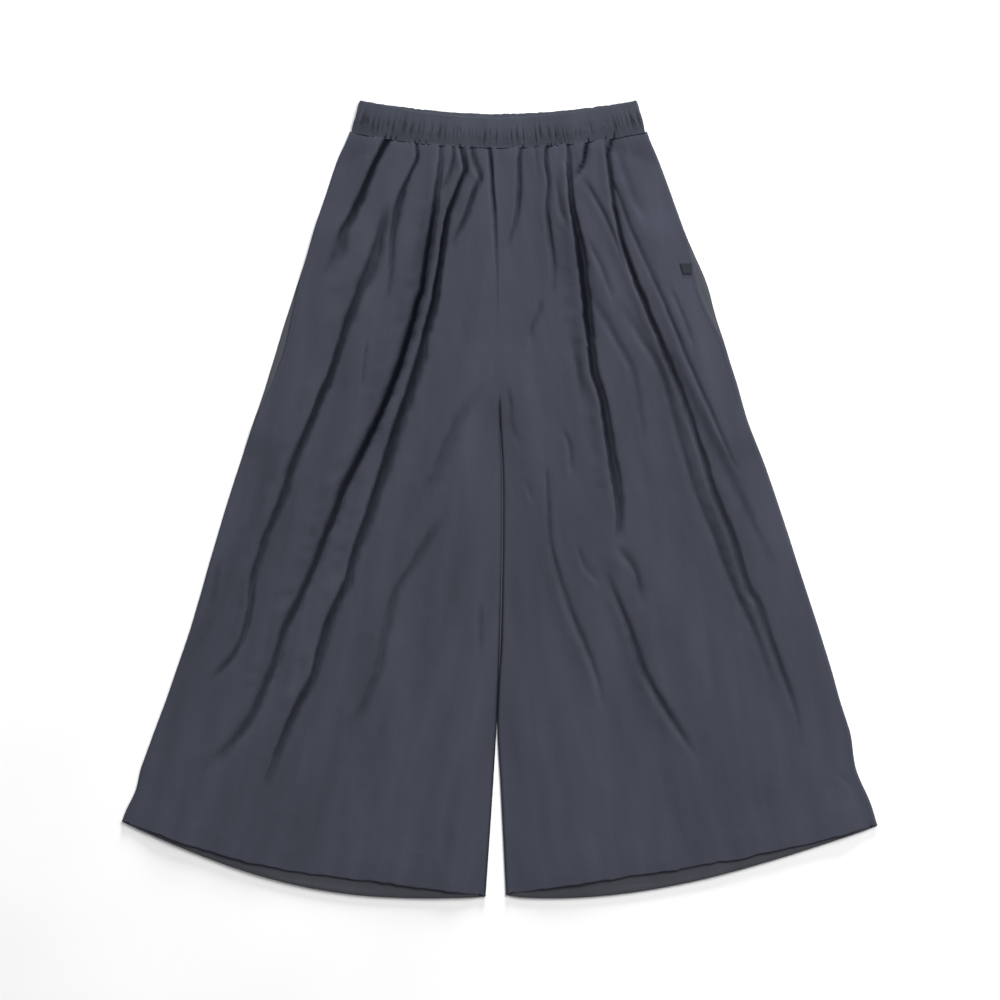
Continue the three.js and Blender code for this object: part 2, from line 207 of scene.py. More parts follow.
@dataclass(frozen=True)
class Leg:
    """One leg's outline. Distances are from the centre line, and shares run down from the waist seam.

    Args:
        name: the side's name.
        side: the wearer's side.
        outer: the side seam's distance at each of its levels.
        inner: the inner edge's distance at each of its levels.
        outer_corner: the height of the hem's outer corner.
        inner_corner: the height of its inner corner.
        front_hem: the hang of the front's hem.
        back_hem: the hang of the back's hem.
        edge_bumps: swellings of the side seam.
        mouth_inset: how far the front stands back from the side seam at the pocket's mouth.
        seed: the seed of the leg's unevenness.
        parts: the share at which the two legs part.
        inseam_shade: how dark the painted shade along the inner edge is below there, from 0 to 1.
    """

    name: str
    side: Side
    outer: Levels
    inner: Levels
    outer_corner: float
    inner_corner: float
    front_hem: Hem
    back_hem: Hem
    edge_bumps: Tuple[Bump, ...]
    mouth_inset: Bump
    seed: int
    parts: float = 0.72
    inseam_shade: float = 0.3

    def inner_edge(self, v: Array) -> Array:
        """The inner edge's distance from the centre line. Above the crotch the two legs meet there."""
        return along(self.inner, v, INSEAM_LEVELS) + SEAM_GAP / 2 * smooth((v - CROTCH_SHARE) / 0.02)

    def outer_edge(self, v: Array) -> Array:
        """The side seam's distance from the centre line, with its bumps and a slight unevenness."""
        edge = along(self.outer, v, SIDE_LEVELS) + sum(bump.value(v) for bump in self.edge_bumps)
        length = self.length() * np.asarray(v, float)
        uneven = 0.7 * waver(length, 38.0, self.seed + 40)
        return edge + uneven * smooth(v / 0.05) * smooth((1 - v) / 0.05)

    def meeting(self, other: "Leg", v: Array) -> Array:
        """Half of the space between the two inner edges, down to where the legs part."""
        between = (self.inner_edge(v) + other.inner_edge(v)) / 2
        return between * (1 - smooth((v - self.parts) / 0.04))

    def length(self) -> float:
        """The side seam's length up and down."""
        return WAIST_SEAM_UP + WAIST_SEAM_RISE - self.outer_corner

    def plan(self, hem: Hem, u: Array, v: Array, inset: Union[float, Array] = 0.0) -> "Plan":
        """Place points of the leg in plan.

        A point lies on the straight line between the inner edge and the side seam at its level. The line
        sags with the waist seam's dip at the top and with the hem's hang at the bottom. The top goes on
        up under the band.

        Args:
            hem: the hang of the hem.
            u: shares from the inner edge to the side seam.
            v: shares from the waist seam to the hem.
            inset: how far the outer edge stands back from the side seam.

        Returns:
            The places.
        """
        inner, outer = self.inner_edge(v), self.outer_edge(v) - inset
        inner_up = WAIST_SEAM_UP + (self.inner_corner - WAIST_SEAM_UP) * v
        outer_up = WAIST_SEAM_UP + WAIST_SEAM_RISE - self.length() * v
        dip = WAIST_SEAM_RISE * (u - u * u)
        up = inner_up + (outer_up - inner_up) * u - (1 - v) * dip - v * hem.drop(u)
        x = self.side.value * (inner + (outer - inner) * u)
        tucked = UNDER_BAND * (1 - smooth(v / 0.012))
        return Plan(x, up - SEAM_GAP + tucked, u * (outer - inner), (1 - u) * (outer - inner))


@dataclass(frozen=True)
class Plan:
    """Places in plan, with their distances from a leg's edges."""

    x: Array
    y: Array
    to_inner: Array
    to_outer: Array


RIGHT_LEG = Leg(
    name="right",
    side=Side.RIGHT,
    outer={"waist": 167.4, "flare": 182, "hip": 205, "seat": 253, "thigh": 303, "knee": 349, "hem": 422.8},
    inner={"waist": 0, "crotch": 0, "thigh": -3.2, "calf": -0.8, "parting": 2.6, "shin": 7.5, "hem": 15.5},
    outer_corner=-360.0,
    inner_corner=-444.0,
    front_hem=Hem(16.0, 0.6),
    back_hem=Hem(30.5, 0.5),
    edge_bumps=(Bump(0.955, 0.035, -3.0),),
    mouth_inset=Bump(0.32, 0.13, 8.0),
    seed=11,
    inseam_shade=0.8,
)
LEFT_LEG = Leg(
    name="left",
    side=Side.LEFT,
    outer={"waist": 165.2, "flare": 179, "hip": 204, "seat": 258.6, "thigh": 310.6, "knee": 361,
           "hem": 423.4},
    inner={"waist": 0, "crotch": 0, "thigh": 3.9, "calf": 1.8, "parting": -2.7, "shin": 1.5, "hem": 7.3},
    outer_corner=-364.5,
    inner_corner=-442.0,
    front_hem=Hem(8.0, 0.6),
    back_hem=Hem(24.0, 0.43),
    edge_bumps=(Bump(0.92, 0.06, -5.0), Bump(0.21, 0.08, 4.5), Bump(0.29, 0.05, 1.5),
                Bump(0.41, 0.08, -3.0)),
    mouth_inset=Bump(0.225, 0.08, 9.0),
    seed=23,
)


@dataclass(frozen=True)
class Crease:
    """One fold, placed as listed.

    Its valley runs through the points of path, from the waist down. The cloth stands up as a crest on one
    side of the valley and comes up gently on the other.

    Args:
        path: the valley's (x, y) points.
        depth: the drop from crest to valley.
        half: the valley's half widths, at equal steps from its top to its foot.
        dark: how dark the valley's painted shade is, from 0 to 1, likewise.
        crest: the side on which the crest stands along X, or 0 for a plain trough.
        opens: the length over which the fold opens at its top, 0 at the waist seam.
        fades: the length over which it dies out at its foot.
        steep: the side along X on which the shade ends steeply, or 0 for neither.
        flat: how flat the shade's middle is, as the power of its fall.
    """

    path: Tuple[Tuple[float, float], ...]
    depth: float
    half: Tuple[float, ...]
    dark: Tuple[float, ...]
    crest: int = -1
    opens: float = 0.0
    fades: float = 120.0
    steep: int = 0
    flat: float = 3.4

    def valley(self, y: Array, seed: int) -> Array:
        """The valley's x at heights y: the curve through the points, with a slight seeded jitter."""
        points = sorted((py, px) for px, py in self.path)
        levels, values = zip(*points)
        inside = np.clip(y, levels[0], levels[-1])
        x = through(levels, values, inside)
        low = (values[1] - values[0]) / (levels[1] - levels[0])
        high = (values[-1] - values[-2]) / (levels[-1] - levels[-2])
        x = x + low * np.minimum(y - levels[0], 0) + high * np.maximum(y - levels[-1], 0)
        return x + (0.45 * waver(y, 19.0, seed) + 0.5 * waver(y, 6.0, seed + 1))

    def down(self, values: Tuple[float, ...], y: Array) -> Array:
        """Read values that stand at equal steps from the fold's top to its foot."""
        top, foot = self.path[0][1], self.path[-1][1]
        return np.interp((top - y) / (top - foot), np.linspace(0.0, 1.0, len(values)), values)

    def lay(self, x: Array, y: Array, seed: int) -> Tuple[Array, Array, Array]:
        """Work out the fold over a panel.

        With s as the distance from the valley towards the crest in half widths, the height is 0.26 of a
        bell at 1.3 less 0.7 of a bell at 0, times the depth. The crest's bell is narrow towards the
        valley and wide beyond. The crest also leans over the valley. The half width comes and goes
        along the fold.

        Args:
            x: the panel's points across.
            y: the panel's points up.
            seed: the seed of the fold's unevenness.

        Returns:
            The height, the lean along X, and the painted shade at each point, from 0 to 1.
        """
        top, foot = self.path[0][1], self.path[-1][1]
        opening = smooth((top - y) / self.opens) if self.opens else 0.75 + 0.25 * smooth((top - y) / 25.0)
        strength = opening * smooth((y - foot + 12.0) / self.fades)
        strength = strength * (1 + 0.16 * waver(y, 34.0, seed + 2))
        valley = self.valley(y, seed)
        slope = (self.valley(y + 4.0, seed) - self.valley(y - 4.0, seed)) / 8.0
        uneven = 0.12 * waver(y, 26.0, seed + 3) + 0.16 * waver(y, 8.0, seed + 4)
        half = self.down(self.half, y) * (1 + uneven)
        distance = (x - valley) / np.hypot(1.0, slope)
        away = distance / half
        ends = smooth((y - foot + 5.0) / (8.0 + 3.0 * half))
        if self.opens:
            ends = ends * smooth((top - y + 5.0) / (8.0 + 3.0 * half))
        dark = self.down(self.dark, y) * ends
        if self.crest == 0:
            height = self.depth * strength * (0.22 * bell(away / 2.6) - 0.55 * bell(away))
            return height, 0 * height, bell(away) * dark
        s = self.crest * distance / np.maximum(half, 2.8)
        crest = np.where(s > 1.3, bell((s - 1.3) / 2.4), bell((s - 1.3) / 0.8))
        trough = np.where(s > 0, bell(s / 0.8), bell(s / 1.1))
        height = self.depth * strength * np.minimum(half / 3.0, 1.0) * (0.26 * crest - 0.7 * trough)
        lean = -self.crest * strength * min(1.0, self.depth / 8.0) * 0.45 * half * bell((s - 1.1) / 0.8)
        return height, lean, dark * self.shade((distance + lean) / half, y, seed)

    def shade(self, away: Array, y: Array, seed: int) -> Array:
        """The valley's painted shade across it, from 0 to 1, at distances away in half widths.

        It falls off on each side as a bell with a flatter middle, wider now on one side and now on the
        other, or steep on one side all the way.
        """
        if self.steep:
            on_steep = away * self.steep > 0
            reach, power = np.where(on_steep, 0.95, 1.3), self.flat + np.where(on_steep, 3.0, -1.4)
        else:
            reach, power = 1.1 - np.sign(away) * 0.3 * waver(y, 70.0, seed + 5), self.flat
        return np.exp(-(np.abs(away) / reach) ** power)


RIGHT_CREASES: Tuple[Crease, ...] = (
    Crease(((-125, 403), (-135, 384), (-144, 365), (-157, 337), (-168, 313), (-176, 300), (-180, 279),
            (-187, 264), (-194, 246)), 7.5, (3, 4.6, 5.2, 6.5, 7), (0.9, 0.88, 0.78, 0.45, 0.15),
           fades=70),
    Crease(((-93, 399), (-93, 381), (-102, 361), (-107, 350), (-115, 324), (-120, 294), (-121, 263),
            (-124, 225)), 3.5, (1.8, 2.2, 5, 3.8, 3.2, 2.8), (0.75, 0.75, 0.6, 0.5, 0.42, 0.25),
           fades=110),
    Crease(((-126, 330), (-131, 309), (-144, 264), (-161, 223), (-177, 179), (-193, 132),
            (-201, 115), (-207, 98), (-220, 65), (-233, 35), (-245, -3), (-260, -36), (-273, -77),
            (-278, -96), (-281, -126), (-289, -156), (-294, -167), (-304, -182), (-323, -202)), 7.5,
           (4, 7, 4.2, 4.6, 4.6, 4.1, 3, 3.3), (0.3, 0.5, 0.66, 0.72, 0.55, 0.46, 0.4, 0.3),
           opens=60, fades=80),
    Crease(((-66, 389), (-69, 361), (-73, 328), (-79, 291), (-85, 253), (-87, 235), (-92, 220),
            (-101, 186), (-110, 158), (-122, 124), (-136, 91), (-154, 53), (-173, 16), (-187, -21),
            (-202, -59), (-217, -96), (-235, -133), (-243, -152), (-254, -189), (-270, -227),
            (-278, -245), (-291, -264), (-314, -290), (-323, -301)), 12.0,
           (1.2, 3.4, 3.6, 4.7, 4.5, 4.3, 4.1, 3.9, 4.4, 6),
           (0.45, 0.95, 0.99, 0.98, 0.95, 0.8, 0.66, 0.52, 0.42, 0.2), fades=150, steep=1),
    Crease(((-52, 389), (-52, 379), (-57, 362), (-65, 346)), 3.5, (1.9,), (0.45,), fades=30),
    Crease(((-44, 395), (-39, 369), (-40, 365), (-48, 346), (-58, 318), (-62, 300), (-66, 272),
            (-72, 234), (-75, 216), (-83, 188), (-89, 160), (-95, 141), (-101, 122), (-112, 91),
            (-124, 53), (-136, 16), (-148, -21), (-162, -59), (-173, -96), (-190, -133), (-202, -171),
            (-210, -200), (-224, -227), (-241, -264), (-254, -298), (-263, -324)), 10.5,
           (1.7, 2.8, 3.3, 4.9, 5.3, 5.1, 4.7, 4.2, 4.2, 3.8),
           (0.75, 0.93, 0.95, 0.8, 0.72, 0.66, 0.6, 0.56, 0.5, 0.25), fades=130, steep=-1, flat=4.0),
    Crease(((-32, 397), (-27, 374), (-22, 360), (-30, 341), (-36, 322), (-43, 305), (-50, 290),
            (-52, 281)), 6.5, (1.8, 2.2, 2.8, 2.8, 2.5), (0.6, 0.5, 0.5, 0.45, 0.2), fades=60),
    Crease(((-11, 393), (-8, 356), (-5, 318), (-3, 281), (-1, 244), (-1, 188)), 4.5,
           (1.8, 2.4, 2.4, 2, 1.8, 1.6), (0.6, 0.6, 0.42, 0.28, 0.2, 0.1), crest=1, fades=120),
    Crease(((-26, 128), (-34, 109), (-55, 68), (-74, 23), (-90, -15)), 2.4, (6.5,), (0.15, 0.2, 0.15),
           opens=60, fades=60),
    Crease(((-67, -21), (-86, -55), (-97, -74), (-116, -103), (-127, -144), (-136, -189), (-149, -223),
            (-162, -249)), 2.2, (5.0,), (0.26,), opens=40, fades=60),
    Crease(((-22, -116), (-22, -170)), 2.0, (3.0,), (0.18,), opens=20, fades=30),
    Crease(((-314, -66), (-323, -125)), 2.4, (4.0,), (0.2,), opens=25, fades=35),
    Crease(((-148, 174), (-151, 156), (-154, 128)), 1.6, (1.5,), (0.25,), opens=10, fades=14),
    Crease(((-246, 62), (-268, 2), (-292, -58), (-318, -118), (-345, -176)), 0.8, (7.0,), (0.1,),
           opens=70, fades=90),
)
LEFT_CREASES: Tuple[Crease, ...] = (
    Crease(((26, 399), (22, 380), (22, 346), (18, 309), (12, 290), (10, 281)), 4.5,
           (1.7, 2.6, 2.8, 2.8, 2.4), (0.6, 0.5, 0.5, 0.45, 0.15), fades=60),
    Crease(((41, 397), (41, 375)), 2.0, (1.7,), (0.2,), fades=22),
    Crease(((54, 399), (52, 389), (52, 376), (55, 354), (53, 328), (55, 298), (59, 268), (60, 225)), 5.5,
           (1.7, 1.8, 1.9, 3.2, 3.4, 3.2), (0.65, 0.65, 0.6, 0.35, 0.3, 0.15), fades=110),
    Crease(((64, 360), (66, 332), (75, 305)), 1.5, (3.5,), (0.12,), opens=20, fades=30),
    Crease(((81, 188), (92, 106)), 2.4, (5.0,), (0.18,), opens=40, fades=60),
    Crease(((77, 393), (77, 365), (80, 332), (88, 287), (94, 238), (101, 178), (105, 141), (111, 124),
            (118, 91), (123, 57), (129, 24), (134, -14), (134, -32), (131, -44)), 11.5,
           (1.2, 2.4, 4.6, 4.4, 3.7, 4, 4.8, 3.8), (0.5, 0.9, 0.97, 0.96, 0.9, 0.84, 0.7, 0.5),
           fades=110, steep=-1),
    Crease(((93, 300), (99, 270), (102, 240), (107, 205)), 0.6, (7.0,), (0.10,), opens=30, fades=30),
    Crease(((133, -52), (142, -67), (150, -80), (155, -97), (158, -115)), 2.4, (5.0,), (0.25,),
           opens=15, fades=30),
    Crease(((119, -77), (126, -100), (139, -130), (152, -167), (163, -197), (180, -227), (198, -256),
            (218, -286)), 4.0, (5, 3.6, 3.6, 3.6, 4.5), (0.15, 0.4, 0.5, 0.45, 0.15), opens=50, fades=60),
    Crease(((99, 403), (97, 388), (93, 373), (88, 365)), 6.5, (1.8, 2.3, 2.3, 2.8), (0.85, 0.95, 0.9, 0.7),
           fades=20),
    Crease(((94, 361), (104, 343), (118, 317), (129, 290), (142, 259)), 2.2, (2.9,), (0.35,), opens=20,
           fades=50),
    Crease(((128, 413), (123, 393), (121, 384), (124, 361), (127, 339), (128, 326), (134, 300),
            (140, 277), (147, 257), (156, 234), (170, 199), (184, 165), (205, 113), (226, 50), (236, 18),
            (248, -14), (261, -47), (278, -100), (287, -115), (300, -152), (312, -186), (332, -241),
            (340, -283)), 7.5, (2.2, 2, 2.5, 3, 3, 3.1, 3.3, 3.6, 4, 4.6),
           (0.95, 0.7, 0.88, 0.72, 0.5, 0.5, 0.48, 0.42, 0.3, 0.1), fades=200),
    Crease(((119, 400), (120, 384)), 2.0, (1.6,), (0.4,), fades=14),
    Crease(((125, 360), (134, 339), (144, 311), (155, 285), (166, 262), (175, 242), (184, 221),
            (206, 167), (227, 119), (250, 68), (267, 34)), 2.4, (2.0,), (0.5, 0.45, 0.42, 0.38, 0.25),
           opens=20, fades=60),
    Crease(((186, 178), (207, 129), (229, 81), (246, 49), (260, 21), (278, -15), (299, -58), (309, -79)),
           1.0, (5, 7, 7, 6.5, 5.5, 4), (0.26, 0.33, 0.33, 0.3, 0.24, 0.12), opens=60, fades=80),
    Crease(((133, 390), (137, 372), (143, 357), (151, 334), (160, 319)), 1.5, (6.0,), (0.18,), fades=30),
    Crease(((96, 300), (104, 279), (116, 253), (125, 227)), 1.5, (3.5,), (0.12,), opens=30, fades=30),
    Crease(((101, 234), (110, 216), (130, 178), (148, 143), (154, 110), (163, 66)), 1.6, (5.0,), (0.17,),
           opens=40, fades=60),
    Crease(((129, 227), (144, 205), (162, 173), (177, 150), (190, 107), (203, 62), (215, 18), (224, -5),
            (241, -45), (258, -91), (280, -137), (293, -171), (307, -208)), 1.6, (5, 5, 4.5, 4.5, 4.5),
           (0.15, 0.2, 0.23, 0.25, 0.25, 0.12), opens=60, fades=80),
    Crease(((53, 34), (54, 12), (57, -48), (61, -69), (76, -118), (95, -165), (108, -199), (116, -234)),
           2.4, (2, 2, 4, 4, 4), (0.3, 0.35, 0.25, 0.2, 0.1), opens=20, fades=60),
    Crease(((71, 81), (78, 58), (79, 32)), 2.0, (3.0,), (0.15,), opens=20, fades=24),
    Crease(((48, 223), (43, 208), (37, 193), (34, 180)), 2.0, (3.0,), (0.2,), opens=15, fades=20),
    Crease(((88, -54), (95, -75), (106, -88)), 2.2, (2.0,), (0.2,), opens=12, fades=16),
    Crease(((28, 24), (34, 6)), 1.5, (2.5,), (0.12,), opens=10, fades=12),
    Crease(((10, 125), (11, 107), (14, 77), (20, 67)), 2.0, (3.0,), (0.2,), opens=15, fades=20),
    Crease(((191, 240), (199, 219), (207, 200), (216, 174)), 2.0, (3.2,), (0.16,), opens=20, fades=30),
    Crease(((373, -303), (396, -321)), 1.4, (3.0,), (0.12,), opens=10, fades=15),
)
BACK_CREASES: Tuple[Crease, ...] = (
    Crease(((24, 380), (40, 250), (66, 80), (90, -30)), 1.5, (6.0,), (0.2,), crest=0, opens=60,
           fades=140),
    Crease(((52, 380), (78, 250), (122, 80), (160, -90), (190, -250)), 1.5, (7.0,), (0.2,), crest=0,
           opens=60, fades=160),
    Crease(((84, 385), (118, 250), (172, 80), (226, -100), (262, -190)), 1.5, (7.0,), (0.2,), crest=0,
           opens=60, fades=150),
    Crease(((116, 390), (150, 260), (206, 110), (240, 20)), 1.2, (6.0,), (0.2,), crest=0, opens=60,
           fades=120),
)

# How far folds run up into the band: where on the waist seam, how high, and the lean to +X going up
FOLD_TIPS: Tuple[Tuple[float, float, float], ...] = (
    (-128.8, 8, 0.3), (-122.6, 8, 0.3), (-117, 7, 0.3), (-94.6, 6, 0), (-89.6, 7, 0), (-82.3, 7, 0),
    (-44.2, 6, 0), (-30.8, 4, 0), (-11.2, 3, 0), (14, 4, 0), (26.3, 6, 0), (40.9, 4, 0), (53.8, 6, 0),
    (57.7, 6, 0), (62.2, 5, 0), (68.9, 5, 0), (76.7, 3, 0), (99.7, 9, 0), (119.3, 6, 0), (128.2, 14, 0.1),
)
# Where painted shade shows the waist seam as a dark line on the front: from, to, and how dark
SEAM_SHOWS: Tuple[Tuple[float, float, float], ...] = (
    (-66, -50, 0.4), (-31, -10, 0.4), (43, 51, 0.32), (101, 118, 0.72), (138, 151, 0.56),
)


def operator(operation: str, swapped: bool = False) -> Callable[["Shade", Any], "Shade"]:
    """Make a method that adds one Math node with two inputs.

    Args:
        operation: the node's operation.
        swapped: whether the other value comes first.

    Returns:
        The method.
    """

    def method(self: "Shade", other: Any) -> "Shade":
        """Add the node and return its output."""
        first, second = (other, self) if swapped else (self, other)
        return self.math(operation, first, second)

    return method


class Shade:
    """A shader socket that adds Math nodes when it is used in an expression."""

    def __init__(self, tree: "NodeTree", socket: bpy.types.NodeSocket) -> None:
        """Keep the node tree and the socket."""
        self.tree = tree
        self.socket = socket

    def math(self, operation: str, *inputs: Any) -> "Shade":
        """Add one Math node and return its output."""
        return self.tree.node("ShaderNodeMath", {"operation": operation}, dict(enumerate(inputs)))[0]

    __add__ = operator("ADD")
    __radd__ = operator("ADD", swapped=True)
    __sub__ = operator("SUBTRACT")
    __rsub__ = operator("SUBTRACT", swapped=True)
    __mul__ = operator("MULTIPLY")

    def sine(self) -> "Shade":
        """Return the sine."""
        return self.math("SINE", self)


class NodeTree:
    """A material's node tree."""

    def __init__(self, name: str) -> None:
        """Make an empty material with a Principled shader joined to its output."""
        self.material = bpy.data.materials.new(name)
        self.material.use_nodes = True
        self.nodes = self.material.node_tree.nodes
        self.links = self.material.node_tree.links
        self.nodes.clear()
        self.shader = self.nodes.new("ShaderNodeBsdfPrincipled")
        output = self.nodes.new("ShaderNodeOutputMaterial")
        self.links.new(self.shader.outputs["BSDF"], output.inputs["Surface"])

    def join(self, socket: Any, value: Any) -> None:
        """Link a value to a socket, or set the socket to it."""
        value = value.socket if isinstance(value, Shade) else value
        if isinstance(value, bpy.types.NodeSocket):
            self.links.new(value, socket)
        else:
            socket.default_value = value

    def node(self, kind: str, settings: Mapping[str, Any], inputs: Mapping[Union[int, str], Any]) -> list:
        """Add a node.

        Args:
            kind: the node's type.
            settings: its own settings, set first.
            inputs: values or links for its input sockets, by name or number.

        Returns:
            Its outputs, each wrapped as a Shade.
        """
        made = self.nodes.new(kind)
        for name, value in settings.items():
            setattr(made, name, value)
        for key, value in inputs.items():
            self.join(made.inputs[key], value)
        return [Shade(self, output) for output in made.outputs]

    def scaled(self, colour: Tuple[float, float, float], by: Shade) -> Shade:
        """A colour times a value."""
        return self.node("ShaderNodeVectorMath", {"operation": "SCALE"}, {0: colour, "Scale": by})[0]

    def surface(self, **inputs: Any) -> None:
        """Set the Principled shader's sockets. An underscore in a name stands for a space."""
        for name, value in inputs.items():
            self.join(self.shader.inputs[name.replace("_", " ")], value)


@dataclass(frozen=True)
class ClothFinish:
    """Crisp plain-weave cloth, matt with a faint sheen.

    Args:
        name: the material's name.
        colour: the base colour, linear.
        crinkle: the strength of the fine crinkles.
        mottle: how much the colour varies over the cloth.
        deep: the colour painted as shade deep in a fold and in the other shaded places.
        yarn: the space between yarns, m.
    """

    name: str
    colour: Tuple[float, float, float]
    crinkle: float = 0.22
    mottle: float = 0.45
    deep: Tuple[float, float, float] = (0.0010, 0.0016, 0.0045)
    yarn: float = 0.00055

    def build(self) -> bpy.types.Material:
        """Make the material.

        The weave is the product of two sine waves along the cut's own axes. Crinkles are fine noise.
        The colour is lighter and darker by a broad noise, by streaks and by slubs in the yarn. It goes
        over to the deep colour by the painted shade that the mesh carries: in the folds' valleys, along
        seams, on the band and under the front's hem. A noise makes the painted shade's edges ragged: it
        counts most where the shade is half full.

        Returns:
            The material.
        """
        tree = NodeTree(self.name)
        cut = tree.node("ShaderNodeTexCoord", {}, {})[2]
        across, down, _ = tree.node("ShaderNodeSeparateXYZ", {}, {0: cut})
        turn = np.pi / self.yarn
        weave = (across * turn).sine() * (down * turn).sine()
        slub = self._noise(tree, cut, (900.0, 60.0, 1.0), 2.0)
        fine = self._noise(tree, cut, (130.0, 90.0, 1.0), 3.0)
        broad = self._noise(tree, cut, (11.0, 4.5, 1.0), 2.0)
        # The painted shade that the mesh carries, darkest in the folds' valleys
        folds = tree.node("ShaderNodeAttribute", {"attribute_name": "fold_depth"}, {})[2]
        streak = self._noise(tree, cut, (45.0, 7.0, 1.0), 2.0)
        tone = 1.0 + (broad - 0.5) * self.mottle + (streak - 0.5) * self.mottle + (slub - 0.5) * 0.10
        rag = self._noise(tree, cut, (190.0, 70.0, 1.0), 1.0)
        shade = folds + (rag - 0.5) * 1.1 * folds * (1.0 - folds)
        lit = tree.scaled(self.colour, tone * (1.0 - shade))
        colour = tree.node("ShaderNodeVectorMath", {"operation": "ADD"},
                           {0: lit, 1: tree.scaled(self.deep, shade)})[0]
        height = weave * 0.10 + slub * 0.25 + fine * 1.0
        normal = tree.node("ShaderNodeBump", {}, {"Strength": self.crinkle, "Distance": 0.0006,
                                                  "Height": height})[0]
        tree.surface(Base_Color=colour, Roughness=0.56 + (fine - 0.5) * 0.16, Normal=normal,
                     Specular_IOR_Level=0.03, Sheen_Weight=0.015, Sheen_Roughness=0.45,
                     Sheen_Tint=(0.55, 0.70, 1.0, 1.0))
        return tree.material

    @staticmethod
    def _noise(tree: NodeTree, where: Shade, scale: Tuple[float, float, float], detail: float) -> Shade:
        """Noise over the cut, drawn out by a different scale along each axis."""
        place = tree.node("ShaderNodeVectorMath", {"operation": "MULTIPLY"}, {0: where, 1: scale})[0]
        return tree.node("ShaderNodeTexNoise", {}, {"Vector": place, "Scale": 1.0, "Detail": detail})[0]


@dataclass(frozen=True)
class PlainFinish:
    """One colour with a faint grain, for thread, tape and the studio floor."""

    name: str
    colour: Tuple[float, float, float]
    roughness: float
    grain: float = 1500.0

    def build(self) -> bpy.types.Material:
        """Make the material, its colour varied by a fine noise on the object's own coordinates."""
        tree = NodeTree(self.name)
        place = tree.node("ShaderNodeTexCoord", {}, {})[3]
        noise = tree.node("ShaderNodeTexNoise", {}, {"Vector": place, "Scale": self.grain, "Detail": 2.0})[0]
        tone = 0.92 + noise * 0.16
        tree.surface(Base_Color=tree.scaled(self.colour, tone), Roughness=self.roughness,
                     Specular_IOR_Level=0.05)
        return tree.material


CLOTH_FACE = ClothFinish("slate cloth", (0.0427, 0.0456, 0.0617))
# The inside is lighter than the face: partly its own lighter tone, partly painted light that makes up for the
# shade of the layer over it
CLOTH_INSIDE = ClothFinish("slate cloth inside", (0.0570, 0.0595, 0.0710), crinkle=0.2, mottle=0.2)
BAND_CLOTH = ClothFinish("gathered band cloth", (0.0434, 0.0478, 0.0622), crinkle=0.3)
THREAD = PlainFinish("slate thread", (0.037, 0.040, 0.053), 0.6)
TAB_TAPE = PlainFinish("dark tape", (0.0230, 0.0260, 0.0325), 0.7)
FLOOR_PAPER = PlainFinish("white paper", (0.86, 0.86, 0.86), 0.9, grain=3.0)


def grid_faces(rows: int, columns: int, ring: bool = False, tube: bool = False, flip: bool = False) -> Array:
    """The quads of a grid of points, row by row.

    Args:
        rows: the number of rows.
        columns: the number of columns.
        ring: whether the last column joins the first.
        tube: whether the last row joins the first.
        flip: whether the faces look the other way.

    Returns:
        Four point numbers for each quad.
    """
    r = np.arange(rows if tube else rows - 1)[:, None]
    c = np.arange(columns if ring else columns - 1)[None, :]
    r1, c1 = (r + 1) % rows, (c + 1) % columns
    corners = [r * columns + c, r1 * columns + c, r1 * columns + c1, r * columns + c1]
    quads = np.stack([np.broadcast_to(k, (r.size, c.size)) for k in corners], axis=-1).reshape(-1, 4)
    return quads[:, ::-1] if flip else quads


def make_mesh(name: str, points: Array, faces: Array, cut: Optional[Array] = None,
              depth: Optional[Array] = None) -> bpy.types.Object:
    """Make an object from arrays. Its open edges are sharp, so that a wall's rim doesn't shade its face.

    Args:
        name: the object's name.
        points: its points in mm, in an array whose last axis is x, y, z.
        faces: the quads.
        cut: each point's place on the flat cut in mm, for the UV map.
        depth: the painted shade at each point, from 0 to 1, which darkens the cloth's colour.

    Returns:
        The object, linked to the scene and shaded smooth.
    """
    flat = np.ascontiguousarray(points.reshape(-1, 3) * MM, dtype=np.float32)
    mesh = bpy.data.meshes.new(name)
    mesh.vertices.add(len(flat))
    mesh.vertices.foreach_set("co", flat.ravel())
    mesh.loops.add(faces.size)
    mesh.loops.foreach_set("vertex_index", faces.ravel().astype(np.int32))
    mesh.polygons.add(len(faces))
    mesh.polygons.foreach_set("loop_start", np.arange(0, faces.size, 4, dtype=np.int32))
    mesh.polygons.foreach_set("loop_total", np.full(len(faces), 4, dtype=np.int32))
    mesh.polygons.foreach_set("use_smooth", np.ones(len(faces), dtype=bool))
    mesh.update(calc_edges=True)
    used = np.empty(faces.size, dtype=np.int32)
    mesh.loops.foreach_get("edge_index", used)
    rim = np.bincount(used, minlength=len(mesh.edges)) == 1
    mesh.attributes.new("sharp_edge", "BOOLEAN", "EDGE").data.foreach_set("value", rim)
    if cut is not None:
        layer = mesh.uv_layers.new(name="cut")
        spread = (cut.reshape(-1, 2) * MM)[faces.ravel()]
        layer.data.foreach_set("uv", np.ascontiguousarray(spread, dtype=np.float32).ravel())
    # The painted shade, which the cloth's material reads
    if depth is not None:
        attribute = mesh.attributes.new("fold_depth", "FLOAT", "POINT")
        attribute.data.foreach_set("value", np.ascontiguousarray(depth, dtype=np.float32).ravel())
    piece = bpy.data.objects.new(name, mesh)
    bpy.context.scene.collection.objects.link(piece)
    return piece


def thicken(piece: bpy.types.Object, by: float) -> None:
    """Give a sheet its thickness, below the face that it has."""
    wall = piece.modifiers.new("wall", "SOLIDIFY")
    wall.thickness = by * MM
    wall.offset = -1.0
    wall.use_quality_normals = True


